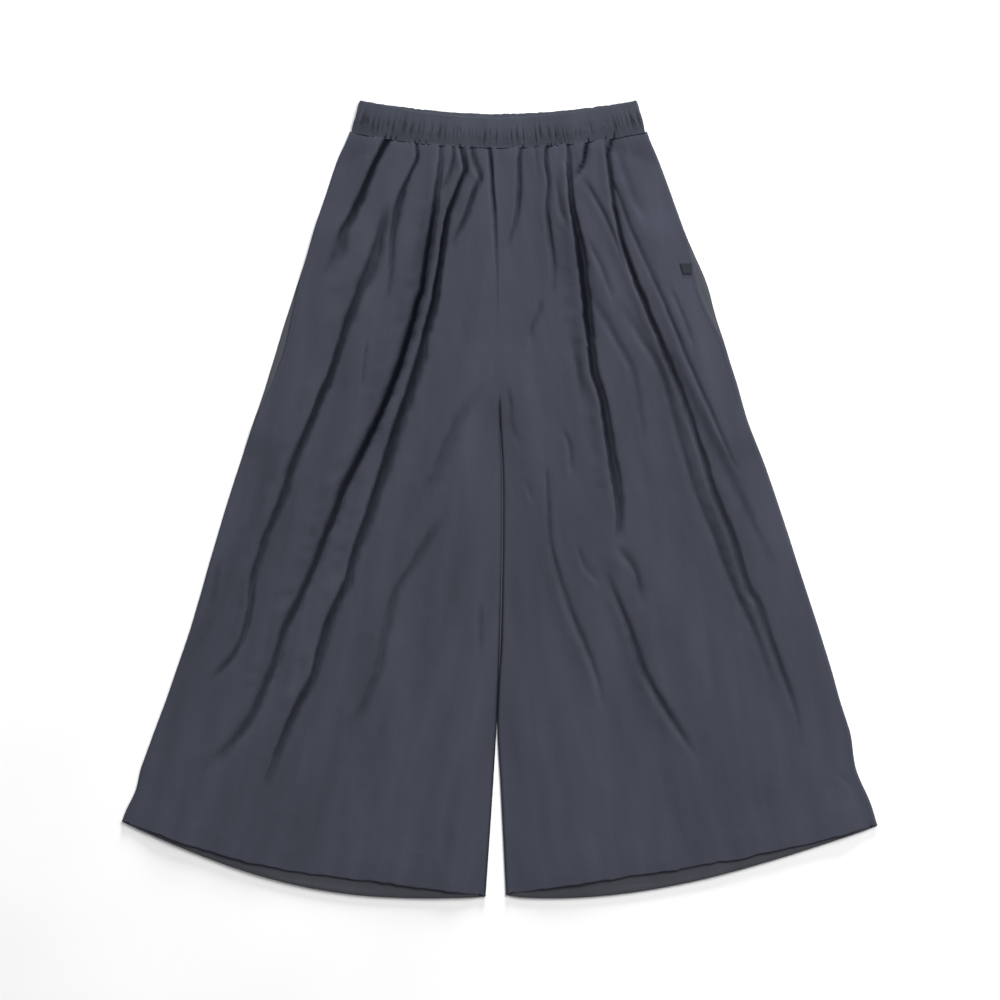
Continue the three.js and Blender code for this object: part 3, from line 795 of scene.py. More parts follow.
def declare(piece: bpy.types.Object, material: bpy.types.Material, node: str = "") -> None:
    """Give a piece its material, its body, and the solid that it replaces if there is one."""
    piece.data.materials.append(material)
    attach(piece, ROOT_BODY)
    if node:
        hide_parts(node)


def mesh_area(piece: bpy.types.Object) -> float:
    """The area of a piece's own mesh in square metres, before its thickness."""
    areas = np.empty(len(piece.data.polygons), dtype=np.float32)
    piece.data.polygons.foreach_get("area", areas)
    return float(areas.sum())


@dataclass(frozen=True)
class Materials:
    """The finished materials, each made once."""

    face: bpy.types.Material
    inside: bpy.types.Material
    band: bpy.types.Material
    thread: bpy.types.Material
    tab: bpy.types.Material

    @classmethod
    def make(cls) -> "Materials":
        """Build every finish of the garment."""
        finishes = (CLOTH_FACE, CLOTH_INSIDE, BAND_CLOTH, THREAD, TAB_TAPE)
        return cls(*(finish.build() for finish in finishes))


@dataclass
class LegPanel:
    """One cut panel of a leg, with its folds and the hem that is turned under.

    Args:
        leg: the leg's outline.
        creases: its folds.
        layer: front or back.
        columns: the mesh's columns.
        rows: the mesh's rows from waist seam to hem.
        wall: the cloth's thickness.
        turn_lift: the height of the hem's turning over the last row, negative for one that lies under.
        roll_drop: how far a sewn edge rolls down at the edge itself, negative for one that rolls up.
        roll_over: the distance from the edge over which it rolls.
        hem_turn: the turning's depth.
        edge_rows: the turning's rows that go round the hem's edge.
        turn_rows: all of the turning's rows.
        taper_columns: the columns over which the turning closes up at each end.
        hem_zone: the share of the way down from which the rows are closer together.
        hem_rows: how many of the rows lie there.
    """

    leg: Leg
    creases: Tuple[Crease, ...]
    layer: Layer
    columns: int
    rows: int
    wall: float
    turn_lift: float
    roll_drop: float
    roll_over: float = 3.0
    hem_turn: float = 18.0
    edge_rows: int = 4
    turn_rows: int = 8
    taper_columns: float = 9.0
    hem_zone: float = 0.95
    hem_rows: int = 40

    @property
    def node(self) -> str:
        """The name of the solid that this panel replaces."""
        return f"{self.layer.value}_{self.leg.name}"

    def grid(self) -> Tuple[Array, Array]:
        """The shares u and v at the mesh's points, closer together near the edges of the leg.

        The last rows, which lie near the hem, are closer together too.
        """
        u = np.linspace(0.0, 1.0, self.columns)
        u = u - 0.035 * np.sin(2 * np.pi * u) / (2 * np.pi)
        plain = np.linspace(0.0, self.hem_zone, self.rows - self.hem_rows, endpoint=False)
        return np.meshgrid(u, np.concatenate([plain, np.linspace(self.hem_zone, 1.0, self.hem_rows)]))

    def folds(self, x: Array, y: Array) -> Tuple[Array, Array, Array]:
        """Sum the heights and leans of the panel's folds, and keep the darkest of their painted shades."""
        laid = [crease.lay(x, y, self.leg.seed + 7 * k) for k, crease in enumerate(self.creases)]
        heights, leans, painted_fold_shades = zip(*laid)
        return sum(heights), sum(leans), np.maximum.reduce(painted_fold_shades)

    def crinkle(self, u: Array, v: Array) -> Array:
        """The cloth's own unevenness: broad swells, soft ripples, and fine crinkles with crisp crests."""
        across, down = u * 300.0, v * self.leg.length()
        seed = self.leg.seed + (0 if self.layer is Layer.FRONT else 500)
        swell = 0.50 * wander(across, down, (55.0, 110.0), seed + 101)
        ripple = 0.22 * wander(across + 0.08 * down, down, (24.0, 60.0), seed + 102)
        crease = 0.10 * sharp(wander(across - 0.05 * down, down, (19.0, 38.0), seed + 103))
        fine = 0.04 * wander(across, down, (6.0, 10.0), seed + 104)
        slant = 0.09 * sharp(wander(across + 0.5 * down, down - 0.4 * across, (27.0, 36.0), seed + 105))
        return swell + ripple + crease + fine + slant

    def puckers(self, u: Array, down: Array) -> Array:
        """The short gathers below the waist seam: uneven ridges that die out at uneven lengths."""
        across = u * WAIST_HALF
        ridge = wander(across, down, (3.6, 60.0), self.leg.seed) + 0.5 * wander(across, down, (1.9, 40.0), 8)
        height = 0.55 + 0.45 * waver(across, 8.0, self.leg.seed + 3)
        reach = 8.0 + 6.0 * waver(across, 6.0, self.leg.seed + 4)
        return 0.6 * height * ridge * np.exp(-down / reach)

    def inside_leg(self, place: Plan, v: Array) -> Array:
        """0 at the leg's seams and 1 inside. Above the crotch the centre seam stays up."""
        from_inner = 1 - self.below_crotch(v) * (1 - smooth(place.to_inner / TURN_IN))
        return from_inner * smooth(place.to_outer / TURN_IN)

    def below_crotch(self, v: Array) -> Array:
        """0 above the crotch and 1 below it."""
        return smooth((v - CROTCH_SHARE + 0.04) / 0.09)

    def seam_roll(self, distance: Array) -> Array:
        """How far the cloth rolls down at a distance from a sewn edge, along a quarter of an ellipse."""
        t = np.clip(1 - distance / self.roll_over, 0, 1)
        return self.roll_drop * (1 - np.sqrt(1 - t * t))

    def top(self, u: Array, v: Array) -> Tuple[Array, Array]:
        """The panel's upper face and its painted shade."""
        raise NotImplementedError

    def turn_under(self, points: Array) -> Array:
        """Add the hem's turning: rows that go round the hem's edge and back up on the other side.

        The rows follow a half circle under or over the panel's last row, and then run back up the leg,
        level with its other face.

        Args:
            points: the panel's points.

        Returns:
            The turning's points, from the hem's edge inwards.
        """
        last, lift = points[-1], self.turn_lift
        from_ends = np.minimum(np.arange(self.columns), np.arange(self.columns)[::-1])
        taper = 0.04 + 0.96 * smooth(from_ends / self.taper_columns)[:, None]
        inward = points[-2] - last
        inward = inward / np.linalg.norm(inward, axis=-1, keepdims=True)
        radius = abs(lift) / 2
        rows = [last + taper * (inward * (-radius * np.sin(a)) + np.array([0, 0, lift / 2 * (1 - np.cos(a))]))
                for a in np.pi * np.arange(1, self.edge_rows + 1) / self.edge_rows]
        level_rows = self.turn_rows - self.edge_rows
        steps = self.hem_turn * np.arange(1, level_rows + 1) / level_rows
        back = np.array([0, 0, lift]) * taper
        level = inward * np.array([1, 1, 0])
        rows += [last + level * step * taper + back for step in steps]
        return np.stack(rows)

    def build(self, materials: Materials) -> bpy.types.Object:
        front = self.layer is Layer.FRONT
        u, v = self.grid()
        # depth is the painted shade of the folds and seams, which darkens the cloth's colour
        points, depth = self.top(u, v)
        turning = self.turn_under(points)
        width = self.leg.outer_edge(v) - self.leg.inner_edge(v)
        cut = np.stack([(u - 0.5) * width, (1 - v) * self.leg.length()], axis=-1)
        strip = np.arange(1, len(turning) + 1)[:, None] * self.hem_turn / len(turning)
        turned_cut = np.stack(np.broadcast_arrays(cut[-1, :, 0], -strip), axis=-1)
        all_points = np.concatenate([points, turning])
        faces = grid_faces(*all_points.shape[:2], flip=self.leg.side is Side.RIGHT)
        piece = make_mesh(f"{self.node}_cloth", all_points, faces, np.concatenate([cut, turned_cut]),
                          np.concatenate([depth, np.zeros(turning.shape[:2])]))
        thicken(piece, self.wall)
        declare(piece, materials.face if front else materials.inside, self.node)
        flat = self.flat_size()
        area = min(mesh_area(piece), flat[0] * flat[1])
        return piece

    def flat_size(self) -> Tuple[float, float]:
        """The panel's flat cut in metres: its hem's width and its length, with all allowances."""
        hem = np.array(1.0)
        width = float(self.leg.outer_edge(hem) - self.leg.inner_edge(hem)) + 2 * SIDE_ALLOWANCE
        length = WAIST_SEAM_UP - self.leg.inner_corner + WAIST_ALLOWANCE + self.hem_turn
        return width * MM, length * MM


@dataclass
class FrontPanel(LegPanel):
    """A front leg panel, which carries the folds that show. Its hem is turned under."""

    layer: Layer = Layer.FRONT
    columns: int = 232
    rows: int = 196
    wall: float = FRONT_WALL
    turn_lift: float = -1.7
    roll_drop: float = 1.3
    valley_floor: float = 0.1

    def top(self, u: Array, v: Array) -> Tuple[Array, Array]:
        """The panel's upper face and its painted shade.

        The height is that of the loose cloth, let down to the back along the side seam and the inseam
        and lifted by the facing beside the pocket. The centre seam stays smooth. The edges that are
        sewn to the back roll down to it. The painted shade is that of the folds' valleys, and a painted
        dark line of shade where the two inner edges meet.
        """
        leg = self.leg
        place = leg.plan(leg.front_hem, u, v, leg.mouth_inset.value(v))
        inside = self.inside_leg(place, v)
        # depth: the folds' painted shade
        folds, lean, depth = self.folds(place.x, place.y)
        above_crotch = 1 - smooth((v - CROTCH_SHARE + 0.012) / 0.012)
        centre_seam = above_crotch * (1 - smooth(place.to_inner / 9.0))
        seam_height = along(FRONT_LOFT, v) + 0.5 * waver(place.y, 60.0, CENTRE_SEAM_SEED)
        height = self.loose_height(u, v, folds) * (1 - centre_seam) + seam_height * centre_seam
        held = height * np.maximum(inside, 1 - smooth(v / 0.05))
        hem_wave = smooth((v - 0.93) / 0.07) * (0.9 + 0.9 * waver(place.x, 52.0, leg.seed + 9))
        rolled_inner = self.seam_roll(place.to_inner) * (1 - above_crotch)
        top = (CLOTH * 2 + LAYER_GAP + held + self.pocket_lift(place, v) + hem_wave * inside
               - self.seam_roll(place.to_outer) - rolled_inner)
        under_band = 0.55 * (1 - smooth(v / 0.004))
        below = self.below_crotch(v)
        edge = smooth(place.to_outer / 12.0) * (1 - below * (1 - smooth(place.to_inner / 12.0)))
        shift = lean * edge * smooth(v / 0.03) * (1 - centre_seam)
        ragged = 1.2 * waver(place.x, 23.0, leg.seed + 12) + 0.8 * waver(place.x, 8.0, leg.seed + 13)
        ragged = smooth((v - 0.98) / 0.02) * inside * ragged
        points = np.stack([place.x + shift, place.y + ragged, top - under_band], axis=-1)
        # Painted shade along the inner edge below the crotch: the dark line of the gap between the legs
        closed = np.interp(v, (CROTCH_SHARE, 0.55, 0.68, 0.75, 0.80),
                           (0.55, 0.6, 0.95, 0.95, leg.inseam_shade))
        inseam = closed * bell(place.to_inner / 1.9) * (1 - above_crotch)
        return points, np.maximum(depth * edge * (1 - 0.25 * centre_seam), inseam)

    def loose_height(self, u: Array, v: Array, folds: Array) -> Array:
        """The height of the cloth where nothing holds it down: the solids' loft, the folds and crinkles.

        The waist seam holds the folds' valleys up. No valley goes under the valley floor.
        """
        down = v * self.leg.length()
        loose = self.crinkle(u, v) * (0.35 + 0.65 * smooth(v / 0.1)) + self.puckers(u, down)
        sewn = np.where(folds < 0, 0.3 + 0.7 * smooth(v / 0.014), 1.0)
        height = along(FRONT_LOFT, v) + folds * sewn + loose * np.maximum(smooth(v / 0.012), 0.6)
        floor = self.valley_floor
        return np.maximum(height, floor + 0.25 * bell((height - floor) / 1.5))

    def pocket_lift(self, place: Plan, v: Array) -> Array:
        """How much the pocket's facing lifts the front above it."""
        lengthwise = (smooth((v - FACING_TOP + 0.07) / 0.05)
                      * smooth((FACING_BOTTOM + 0.07 - v) / 0.05))
        return 1.5 * lengthwise * (1 - smooth((place.to_outer - 26.0) / 30.0))


@dataclass
class BackPanel(LegPanel):
    """A back leg panel, whose underside rests on the surface. Its hem is turned to the inside, over it."""

    layer: Layer = Layer.BACK
    columns: int = 190
    rows: int = 150
    wall: float = BACK_WALL
    turn_lift: float = 1.1
    roll_drop: float = -0.5

    def top(self, u: Array, v: Array) -> Tuple[Array, Array]:
        """The panel's upper face and its painted shade: its wall's height, plus the shallow channels."""
        leg = self.leg
        place = leg.plan(leg.back_hem, u, v)
        laid = [crease.lay(place.x * leg.side.value, place.y, leg.seed + 7 * k)
                for k, crease in enumerate(self.creases)]
        depth = np.maximum.reduce([row[2] for row in laid])
        channel = np.maximum.reduce([-row[0] for row in laid])
        inward = place.to_inner + 60.0 * (1 - v)
        room = smooth((place.to_outer - 30.0) / 50.0) * smooth((inward - 30.0) / 50.0)
        loose = np.maximum(self.crinkle(u, v) - 0.2, 0.0) * 0.7
        edge = smooth(place.to_outer / 10.0) * smooth(place.to_inner / 10.0)
        rolled = self.seam_roll(place.to_outer) + self.seam_roll(place.to_inner)
        hem_wave = 0.35 * (1 + waver(place.x, 52.0, leg.seed + 19)) * smooth((v - 0.95) / 0.05)
        top = 0.95 + 1.6 * room * np.maximum(channel, 0) + loose * edge + hem_wave * edge - rolled
        other = LEFT_LEG if leg is RIGHT_LEG else RIGHT_LEG
        inwards = leg.side.value * leg.meeting(other, v) * (1 - smooth(place.to_inner / 8.0))
        # Painted shade in the channels, and a painted shadow on the inside just below the front's hem
        below = leg.plan(leg.front_hem, u, np.ones_like(v)).y - place.y
        shaded = np.where(below < 0, 1.0, bell(below / 1.2)) * edge
        return np.stack([place.x - inwards, place.y, top], axis=-1), np.maximum(depth * 0.3, 0.7 * shaded)


@dataclass(frozen=True)
class BandSizes:
    """The waistband's sizes.

    Args:
        thick: its thickness through both layers.
        wall: the wall of one layer.
        side_up: the height of its top edge at the sides.
        front_top_up: that of the front's top edge in the middle.
        back_top_up: that of the back's.
        top_curve: the power of the top edge's curve across.
        top_round: how far the rounded top edge stands over the face.
        channel_share: the share of its depth at which the row of stitches lies.
        depth: its depth.
        fullness: its cloth's length for each length of the relaxed ring; not used.
    """

    thick: float = 6.0
    wall: float = 2.3
    side_up: float = 446.5
    front_top_up: float = 427.5
    back_top_up: float = 432.0
    top_curve: float = 1.8
    top_round: float = 1.2
    channel_share: float = 0.31
    depth: float = 38.0
    fullness: float = 1.12


@dataclass
class Waistband:
    """The gathered band: cloth folded over elastic, with a row of stitching under the elastic.

    Args:
        sizes: its sizes.
        stations_a_layer: the ring's columns along each layer.
        end_stations: the columns' steps round each end.
        face_rows: the rows up the outer face.
        round_rows: the rows over the rounded top edge.
        gather_depth: how deep the gathers are pressed in.
        tip_depth: how deep the tips of the front's folds are.
        seam_depth: how far the face goes in at the waist seam.
        belly: how far the front stands out between the seam and the top edge.
        seed: the seed of its unevenness.
    """

    sizes: BandSizes
    stations_a_layer: int = 620
    end_stations: int = 26
    face_rows: int = 30
    round_rows: int = 5
    gather_depth: float = 0.58
    tip_depth: float = 0.35
    seam_depth: float = 1.35
    belly: float = 0.35
    seed: int = 71

    def stations(self) -> Tuple[Array, Array, Array]:
        """Where the ring's columns lie: across from -1 to 1, the turn's angle, and which layer (1 or -1)."""
        across = np.linspace(-1.0, 1.0, self.stations_a_layer)
        turn = np.pi * np.arange(1, self.end_stations) / self.end_stations
        flat, ends = 0 * across, np.ones_like(turn)
        return (np.concatenate([across, ends, -across, -ends]),
                np.concatenate([flat, turn, flat, turn]),
                np.concatenate([flat + 1, ends, flat - 1, -ends]))

    def edge_up(self, across: Array, layer: Array) -> Tuple[Array, Array]:
        """The heights of the waist seam and of the band's top edge at each station."""
        size = self.sizes
        seam = WAIST_SEAM_UP + WAIST_SEAM_RISE * across ** 2
        back = (1 - layer) / 2
        middle = size.front_top_up + (size.back_top_up - size.front_top_up) * smooth(back)
        top = middle + (size.side_up - middle) * np.abs(across) ** size.top_curve
        return seam, top

    def gather(self, across: Array, layer: Array, share: Array) -> Array:
        """The depth of the gathers pressed into the band's face, from 0 on smooth cloth to 1.

        A gather is a short narrow groove where a noise across the band stands high. Its middle and its
        reach up and down the band come from slower noises, so that no two are alike.
        """
        width = across * WAIST_HALF
        row = layer * 50.0
        drift = 0.9 * wander(width, share * self.sizes.depth, (14.0, 16.0), self.seed + 5)
        grooves = np.clip(1.7 * wander(width + drift, row, (2.0, 1.0), self.seed + 6) - 0.12, 0.0, 1.0)
        fine = wander(width + drift, row + 4.0 * share, (1.7, 1.0), self.seed + 7)
        fine = np.clip(1.4 * fine - 0.15, 0.0, 1.0)
        middle = 0.44 + 0.14 * wander(width, row, (5.0, 1.0), self.seed + 10)
        reach = 0.21 + 0.12 * wander(width, row, (4.0, 1.0), self.seed + 11)
        shown = bell((share - middle) / reach)
        return np.clip(grooves * (0.04 + 0.96 * shown) + 0.3 * fine * shown, 0.0, 1.0)

    def place(self, across: Array, share: Array) -> Array:
        """Where a station of the flat front lies along X."""
        half_width = WAIST_HALF + (WAIST_TOP_HALF - WAIST_HALF) * share - self.sizes.thick / 2
        return across * half_width + WAIST_SHIFT

    def fold_tips(self, across: Array, layer: Array, share: Array) -> Array:
        """How far the tips of the front's folds run up into the band's foot, from 0 to 1."""
        x, up = self.place(across, share), share * self.sizes.depth
        tips = [bell((x - start - lean * up) / (1.3 - 0.8 * smooth(up / reach)))
                * (1 - smooth((up - 0.35 * reach) / (0.75 * reach))) for start, reach, lean in FOLD_TIPS]
        return np.maximum.reduce(tips) * (layer > 0)

    def painted_seam_shade(self, across: Array, layer: Array, share: Array) -> Array:
        """How dark the painted shade along the waist seam is at the band's foot, from 0 to 1."""
        x = self.place(across, share)
        shown = [much * smooth((x - start) / 2.5) * smooth((end - x) / 2.5)
                 for start, end, much in SEAM_SHOWS]
        return np.maximum.reduce(shown) * (layer > 0)

    def face(self, share: Array, across: Array, turn: Array, layer: Array) -> Tuple[Array, Array]:
        """The band's outer face: its points, and the painted shade of its gathers, fold tips and seam.

        The band's section is a stadium seen along its length, whose straight sides are the front and
        back layers. The face comes down to the panels along an uneven seam.
        """
        size = self.sizes
        half = size.thick / 2
        flat = np.cos(turn) ** 2
        gather = self.gather(across, layer, share)
        tips = self.fold_tips(across, layer, share)
        groove = 0.10 * bell((share - size.channel_share) / 0.030)
        seam_noise = wander(across * WAIST_HALF, layer * 50.0, (11.0, 1.0), self.seed + 12)
        seam_in = (self.seam_depth + 0.10 * seam_noise) * bell(share / 0.26)
        faces_up = smooth((1 + layer * np.cos(turn)) / 2)
        belly = self.belly * faces_up * bell((share - 0.66) / 0.3)
        pressed = self.gather_depth * gather * (0.35 + 0.65 * flat) + groove + self.tip_depth * tips
        radius = half - pressed - seam_in + belly
        edge_wave = 0.5 * wander(share * size.depth, layer * 30.0, (7.0, 1.0), self.seed + 9)
        x = self.place(across, share) + layer * (radius + edge_wave * (1 - flat)) * np.sin(turn)
        z = half + layer * radius * np.cos(turn)
        seam_shade = self.painted_seam_shade(across, layer, share) * bell(share / 0.04)
        # Painted shade, darker in the gathers, at the tips of the front's folds and along the waist seam
        shade = np.maximum.reduce([0.42 * gather, 0.9 * tips, seam_shade])
        return np.stack(np.broadcast_arrays(x, 0 * x, z), axis=-1), shade

    def build(self, materials: Materials) -> bpy.types.Object:
        """A closed profile is carried round the ring: up the outer face, over the rounded top edge, down
        the plain inside and round the bottom edge.
        """
        size = self.sizes
        across, turn, layer = self.stations()
        seam, top = self.edge_up(across, layer)
        shares = np.linspace(0.0, 1.0, self.face_rows)[:, None]
        # depth: the band face's painted shade
        outer, depth = self.face(shares, across[None], turn[None], layer[None])
        top_wave = 0.25 - 0.5 * wander(across * WAIST_HALF, layer * 50.0, (4.0, 1.0), self.seed + 13)
        outer[..., 1] = seam + (top + top_wave - size.top_round - seam) * shares
        inward = np.stack([-layer * np.sin(turn), 0 * turn, -layer * np.cos(turn)], axis=-1)
        up = np.array([0.0, 1.0, 0.0])
        arc = np.pi * np.arange(1, self.round_rows + 1) / (self.round_rows + 1)
        round_top = [outer[-1] + inward * (size.wall / 2 * (1 - np.cos(a)))
                     + up * (size.top_round * np.sin(a)) for a in arc]
        inner_rows = outer[::-6] + inward * size.wall
        profile = np.concatenate([outer, np.stack(round_top), inner_rows])
        rest = np.zeros((len(profile) - len(outer), len(across)))
        # Painted shade on the rounded top edge, to dim the low light that it catches; none on the inside
        rest[:len(round_top)] = 0.4
        down = profile[..., 1] - WAIST_SEAM_UP
        steps = np.hypot(np.diff(profile[-1, :, 0]), np.diff(profile[-1, :, 2]))
        run = np.concatenate([[0.0], np.cumsum(steps)])
        cut = np.stack(np.broadcast_arrays(run[None, :], down), axis=-1)
        faces = grid_faces(*profile.shape[:2], ring=True, tube=True, flip=True)
        piece = make_mesh("waistband_cloth", profile, faces, cut, np.concatenate([depth, rest]))
        declare(piece, materials.band, "waistband")
        return piece

    def stitch_line(self, layer: float, pitch: float = 3.3) -> Tuple[Array, Array]:
        """Places and directions of the stitches under the elastic, one to each pitch along a layer."""
        share = self.sizes.channel_share
        count = int(2 * WAIST_HALF / pitch)
        across = np.linspace(-0.985, 0.985, count)
        sides = np.full(count, layer)
        points, _ = self.face(np.array(share), across, 0 * across, sides)
        seam, top = self.edge_up(across, sides)
        points[..., 1] = seam + (top - self.sizes.top_round - seam) * share
        points[..., 2] += 0.01 if layer > 0 else 0.25
        return points, np.gradient(points, axis=0)


@dataclass
class PocketFacing:
    """The strip of cloth behind a side pocket's mouth.

    Args:
        leg: the leg's outline.
        wide: the distance of its inner edge from the side seam.
        edge: the distance of its outer edge.
        rows: the mesh's rows down the seam.
        columns: the mesh's columns.
        flat_wide: the width of its flat cut.
        ease: its cut's length for each length of the place that it fills.
    """

    leg: Leg
    wide: float = 26.0
    edge: float = 0.6
    rows: int = 90
    columns: int = 22
    flat_wide: float = 30.0
    ease: float = 1.05

    def build(self, materials: Materials) -> bpy.types.Object:
        leg = self.leg
        v, c = np.meshgrid(np.linspace(FACING_TOP, FACING_BOTTOM, self.rows),
                           np.linspace(0, 1, self.columns), indexing="ij")
        from_seam = self.wide + (self.edge - self.wide) * c
        width = leg.outer_edge(v) - leg.inner_edge(v)
        place = leg.plan(leg.back_hem, 1 - from_seam / width, v)
        ripple = 0.22 * wander(place.y, from_seam, (17.0, 9.0), leg.seed + 31)
        top = CLOTH + 1.15 + ripple * smooth(from_seam / 3.0) - 0.5 * bell(from_seam / 1.6)
        points = np.stack([place.x, place.y, top], axis=-1)
        cut = np.stack([from_seam, v * leg.length()], axis=-1)
        faces = grid_faces(*v.shape, flip=leg.side is Side.RIGHT)
        piece = make_mesh(f"pocket_facing_{leg.name}_cloth", points, faces, cut, np.zeros(v.shape))
        thicken(piece, BACK_WALL)
        declare(piece, materials.inside, f"pocket_facing_{leg.name}")
        flat = (self.flat_wide * MM, (FACING_BOTTOM - FACING_TOP) * leg.length() * MM * self.ease)
        min(mesh_area(piece), flat[0] * flat[1])
        return piece


@dataclass
class PocketTab:
    """The small blank tab of dark tape sewn on beside the left pocket's mouth.

    Args:
        panel: the panel that it is sewn to.
        across: its middle's distance from the centre line.
        up: its middle's height on the garment.
        wide: its width.
        long: its length.
        slant: how far its inner edge leans in on the way down.
        thick: how far it stands up from the cloth.
        wall: the tape's own thickness.
        ribs: the number of ribs across the tape.
        points_a_side: the mesh's points along each side.
        look_up_steps: the steps in which its place on the panel is found.
    """

    panel: FrontPanel
    across: float = 208.8
    up: float = 258.6
    wide: float = 14.0
    long: float = 12.5
    slant: float = 3.8
    thick: float = 0.8
    wall: float = 0.6
    ribs: int = 9
    points_a_side: int = 25
    look_up_steps: int = 8

    def shares_at(self, across: Array, up: Array) -> Tuple[Array, Array]:
        """Find the panel's shares u and v at places in mm.

        Each step moves v by the error that is left in the height, and then takes u from the width.

        Args:
            across: the distances from the centre line.
            up: the heights on the garment.

        Returns:
            The shares.
        """
        leg = self.panel.leg
        length = WAIST_SEAM_UP - leg.inner_corner
        v = (WAIST_SEAM_UP - up) / length
        u = np.ones_like(v)
        for _ in range(self.look_up_steps):
            inset = leg.mouth_inset.value(v)
            inner, outer = leg.inner_edge(v), leg.outer_edge(v) - inset
            u = (across - inner) / (outer - inner)
            v = v + (leg.plan(leg.front_hem, u, v, inset).y - up) / length
        return u, v

    def surface(self, right: Array, down: Array, over: float) -> Array:
        """Points over the front panel's face, from shares of the tab's width and length.

        The tab is a trapezium whose inner edge leans in on the way down.
        """
        across = self.across + (right - 0.5) * self.wide + (1 - right) * down * self.slant
        points, _ = self.panel.top(*self.shares_at(across, self.up + (0.5 - down) * self.long))
        points[..., 2] += over
        return points

    def build(self, materials: Materials) -> bpy.types.Object:
        """Make the tab: a crowned patch whose edge comes down to the cloth."""
        share = np.linspace(0, 1, self.points_a_side)
        right, down = np.meshgrid(share, share)
        crown = 1 - (2 * np.maximum(np.abs(right - 0.5), np.abs(down - 0.5))) ** 8
        points = self.surface(right, down, LAYER_GAP)
        rib = 0.05 * np.sin(2 * np.pi * down * self.ribs)
        points[..., 2] += self.thick * (0.55 + 0.45 * crown) + rib * crown
        piece = make_mesh("pocket_tab_tape", points, grid_faces(*right.shape),
                          np.stack([right * self.wide, down * self.long], axis=-1))
        thicken(piece, self.wall)
        declare(piece, materials.tab, "pocket_tab")
        f"{self.panel.node}_cloth"
        return piece

    def stitch_line(self) -> Tuple[Array, Array]:
        """Places and directions of the stitches round the tab's edge."""
        inset, count = 0.08, 7
        run = np.linspace(inset, 1 - inset, count)
        edge = np.full(count, inset)
        right = np.concatenate([run, 1 - edge, run[::-1], edge])
        down = np.concatenate([edge, run, 1 - edge, run[::-1]])
        points = self.surface(right, down, LAYER_GAP + self.thick + 0.12)
        return points, np.gradient(points, axis=0)


@dataclass
class Stitching:
    """Rows of stitches, each a small spindle of thread, joined into one mesh for each row.

    Args:
        length: a stitch's length.
        thick: its thickness.
        rings: the spindle's rings from end to end.
        sides: each ring's points. Two quads close a ring of six.
    """

    length: float = 2.5
    thick: float = 0.42
    rings: int = 5
    sides: int = 6

    def spindle(self) -> Tuple[Array, Array]:
        """One stitch about the origin along X: rings whose radius follows a half ellipse, and its quads."""
        along_x = np.linspace(-1, 1, self.rings)
        radius = np.sqrt(np.maximum(1 - along_x ** 2 * 0.97, 0.0)) * self.thick / 2
        angle = 2 * np.pi * np.arange(self.sides) / self.sides
        x = np.broadcast_to(along_x[:, None] * self.length / 2, (self.rings, self.sides))
        y = radius[:, None] * np.cos(angle)
        z = radius[:, None] * np.sin(angle)
        points = np.stack([x, y, z], axis=-1).reshape(-1, 3)
        quads = grid_faces(self.rings, self.sides, ring=True, flip=True)
        cap = np.array([[0, 1, 2, 3], [0, 3, 4, 5]])
        far_cap = cap + (self.rings - 1) * self.sides
        return points, np.concatenate([quads, cap, far_cap[:, ::-1]])

    def build(self, name: str, slot: str, line: Tuple[Array, Array],
              materials: Materials) -> bpy.types.Object:
        places, directions = line
        template, quads = self.spindle()
        ahead = directions / np.linalg.norm(directions, axis=-1, keepdims=True)
        up = np.array([0.0, 0.0, 1.0])
        side = np.cross(np.broadcast_to(up, ahead.shape), ahead)
        side = side / np.linalg.norm(side, axis=-1, keepdims=True)
        top = np.cross(ahead, side)
        turned = (template[None, :, 0:1] * ahead[:, None] + template[None, :, 1:2] * side[:, None]
                  + template[None, :, 2:3] * top[:, None])
        points = places[:, None] + turned
        faces = quads[None] + (np.arange(len(places)) * len(template))[:, None, None]
        piece = make_mesh(name, points, faces.reshape(-1, 4))
        declare(piece, materials.thread)
        return piece


def pocket_stitch_line(panel: FrontPanel, top: float = 0.185, bottom: float = 0.385, inset: float = 5.0,
                       count: int = 54) -> Tuple[Array, Array]:
    """Places and directions of stitches along a pocket's mouth, inset from the front panel's edge.

    Args:
        panel: the front panel.
        top: the share of the way down at which the row starts.
        bottom: the share at which it ends.
        inset: its distance from the edge.
        count: the number of stitches.

    Returns:
        The places and the directions.
    """
    leg = panel.leg
    v = np.linspace(top, bottom, count)
    width = leg.outer_edge(v) - leg.mouth_inset.value(v) - leg.inner_edge(v)
    points, _ = panel.top(1 - inset / width, v)
    points[..., 2] += 0.1
    return points, np.gradient(points, axis=0)


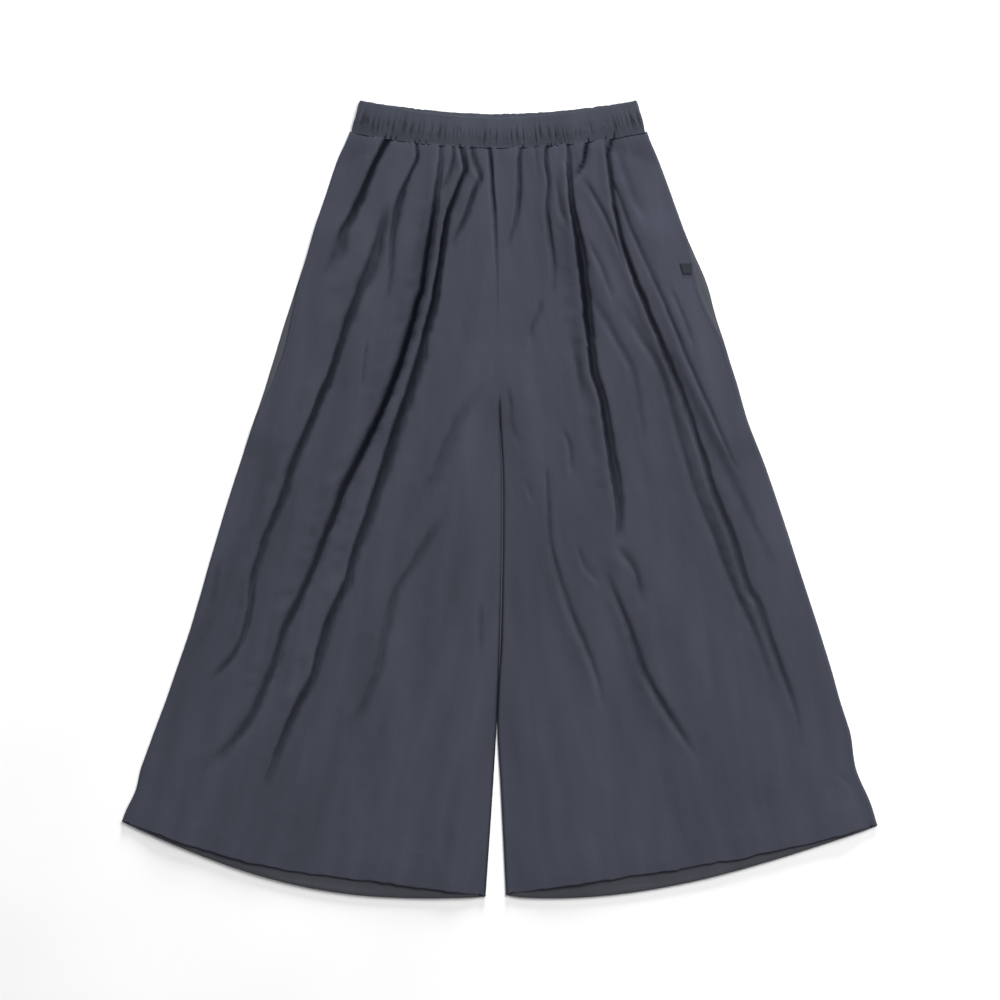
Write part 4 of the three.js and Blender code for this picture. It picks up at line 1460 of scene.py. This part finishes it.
@dataclass(frozen=True)
class Studio:
    """The camera straight above, a white floor and soft light.

    Args:
        image_width: what the picture spans on the garment.
        height: the camera's height.
        focus_up: the height of the cloth that the span is measured at.
        sensor: the width of the camera's sensor.
        aim: the place at the picture's middle.
        floor_half: half of the floor's width.
        floor_down: how far the floor lies under the garment.
    """

    image_width: float = 1120.0
    height: float = 4200.0
    focus_up: float = 5.0
    sensor: float = 36.0
    aim: Tuple[float, float] = (0.6, -0.6)
    floor_half: float = 6000.0
    floor_down: float = 0.3

    def camera(self) -> None:
        """Set the camera over the middle of the picture, looking straight down."""
        data = bpy.data.cameras.new("camera")
        data.sensor_width = self.sensor
        data.lens = self.sensor * (self.height - self.focus_up) / self.image_width
        data.clip_end = 100.0
        camera = bpy.data.objects.new("camera", data)
        camera.location = (self.aim[0] * MM, self.aim[1] * MM, self.height * MM)
        bpy.context.scene.collection.objects.link(camera)
        bpy.context.scene.camera = camera

    def floor(self) -> None:
        """Lay the white floor just under the garment."""
        corners = np.array([[-1.0, -1.0], [1.0, -1.0], [1.0, 1.0], [-1.0, 1.0]]) * self.floor_half
        points = np.column_stack([corners, np.full(4, -self.floor_down)])
        piece = make_mesh("floor", points, np.array([[0, 1, 2, 3]]))
        piece.data.materials.append(FLOOR_PAPER.build())

    def light(self, name: str, place: Tuple[float, float, float], size: float, power: float) -> None:
        """Hang one square soft light that looks at the middle of the garment.

        Args:
            name: its name.
            place: where it hangs, m.
            size: its side, m.
            power: its power, W.
        """
        data = bpy.data.lights.new(name, "AREA")
        data.size = size
        data.energy = power
        lamp = bpy.data.objects.new(name, data)
        lamp.location = place
        lamp.rotation_mode = "QUATERNION"
        lamp.rotation_quaternion = (-lamp.location).to_track_quat("-Z", "Y")
        bpy.context.scene.collection.objects.link(lamp)

    def world(self, strength: float) -> None:
        """Fill the room with even white light."""
        world = bpy.data.worlds.new("room")
        world.use_nodes = True
        backdrop = world.node_tree.nodes["Background"]
        backdrop.inputs["Color"].default_value = (1.0, 1.0, 1.0, 1.0)
        backdrop.inputs["Strength"].default_value = strength
        bpy.context.scene.world = world

    def build(self) -> None:
        """Set up the whole studio."""
        self.camera()
        self.floor()
        self.light("key", (2.1, 2.2, 2.6), 2.2, 193.0)
        self.light("low", (0.7, 6.7, 1.33), 1.4, 772.0)
        self.light("overhead", (0.2, 0.3, 5.0), 4.0, 48.0)
        self.world(0.20)


def main() -> None:
    """Build the trousers."""
    logging.basicConfig(level=logging.INFO, format="%(name)s: %(message)s")
    bpy.context.scene.view_settings.view_transform = "Standard"
    Studio().build()
    materials = Materials.make()
    band = Waistband(BandSizes())
    fronts = [FrontPanel(RIGHT_LEG, RIGHT_CREASES), FrontPanel(LEFT_LEG, LEFT_CREASES)]
    backs = [BackPanel(leg, BACK_CREASES) for leg in (RIGHT_LEG, LEFT_LEG)]
    tab = PocketTab(fronts[1])
    pieces = [panel.build(materials) for panel in (*fronts, *backs)]
    pieces.append(band.build(materials))
    pieces += [PocketFacing(leg).build(materials) for leg in (RIGHT_LEG, LEFT_LEG)]
    pieces.append(tab.build(materials))
    stitches = Stitching()
    for name, layer in (("front", 1.0), ("back", -1.0)):
        line = band.stitch_line(layer)
        pieces.append(stitches.build(f"band_stitches_{name}", "band", line, materials))
    for panel in fronts:
        line = pocket_stitch_line(panel)
        pieces.append(stitches.build(f"pocket_stitches_{panel.leg.name}", "cloth", line, materials))
    small = Stitching(length=1.3, thick=0.3)
    pieces.append(small.build("tab_stitches", "tab", tab.stitch_line(), materials))
    for piece in pieces:
        LOG.info("%s: %d points, %d faces", piece.name, len(piece.data.vertices), len(piece.data.polygons))


if __name__ == "__main__":
    main()
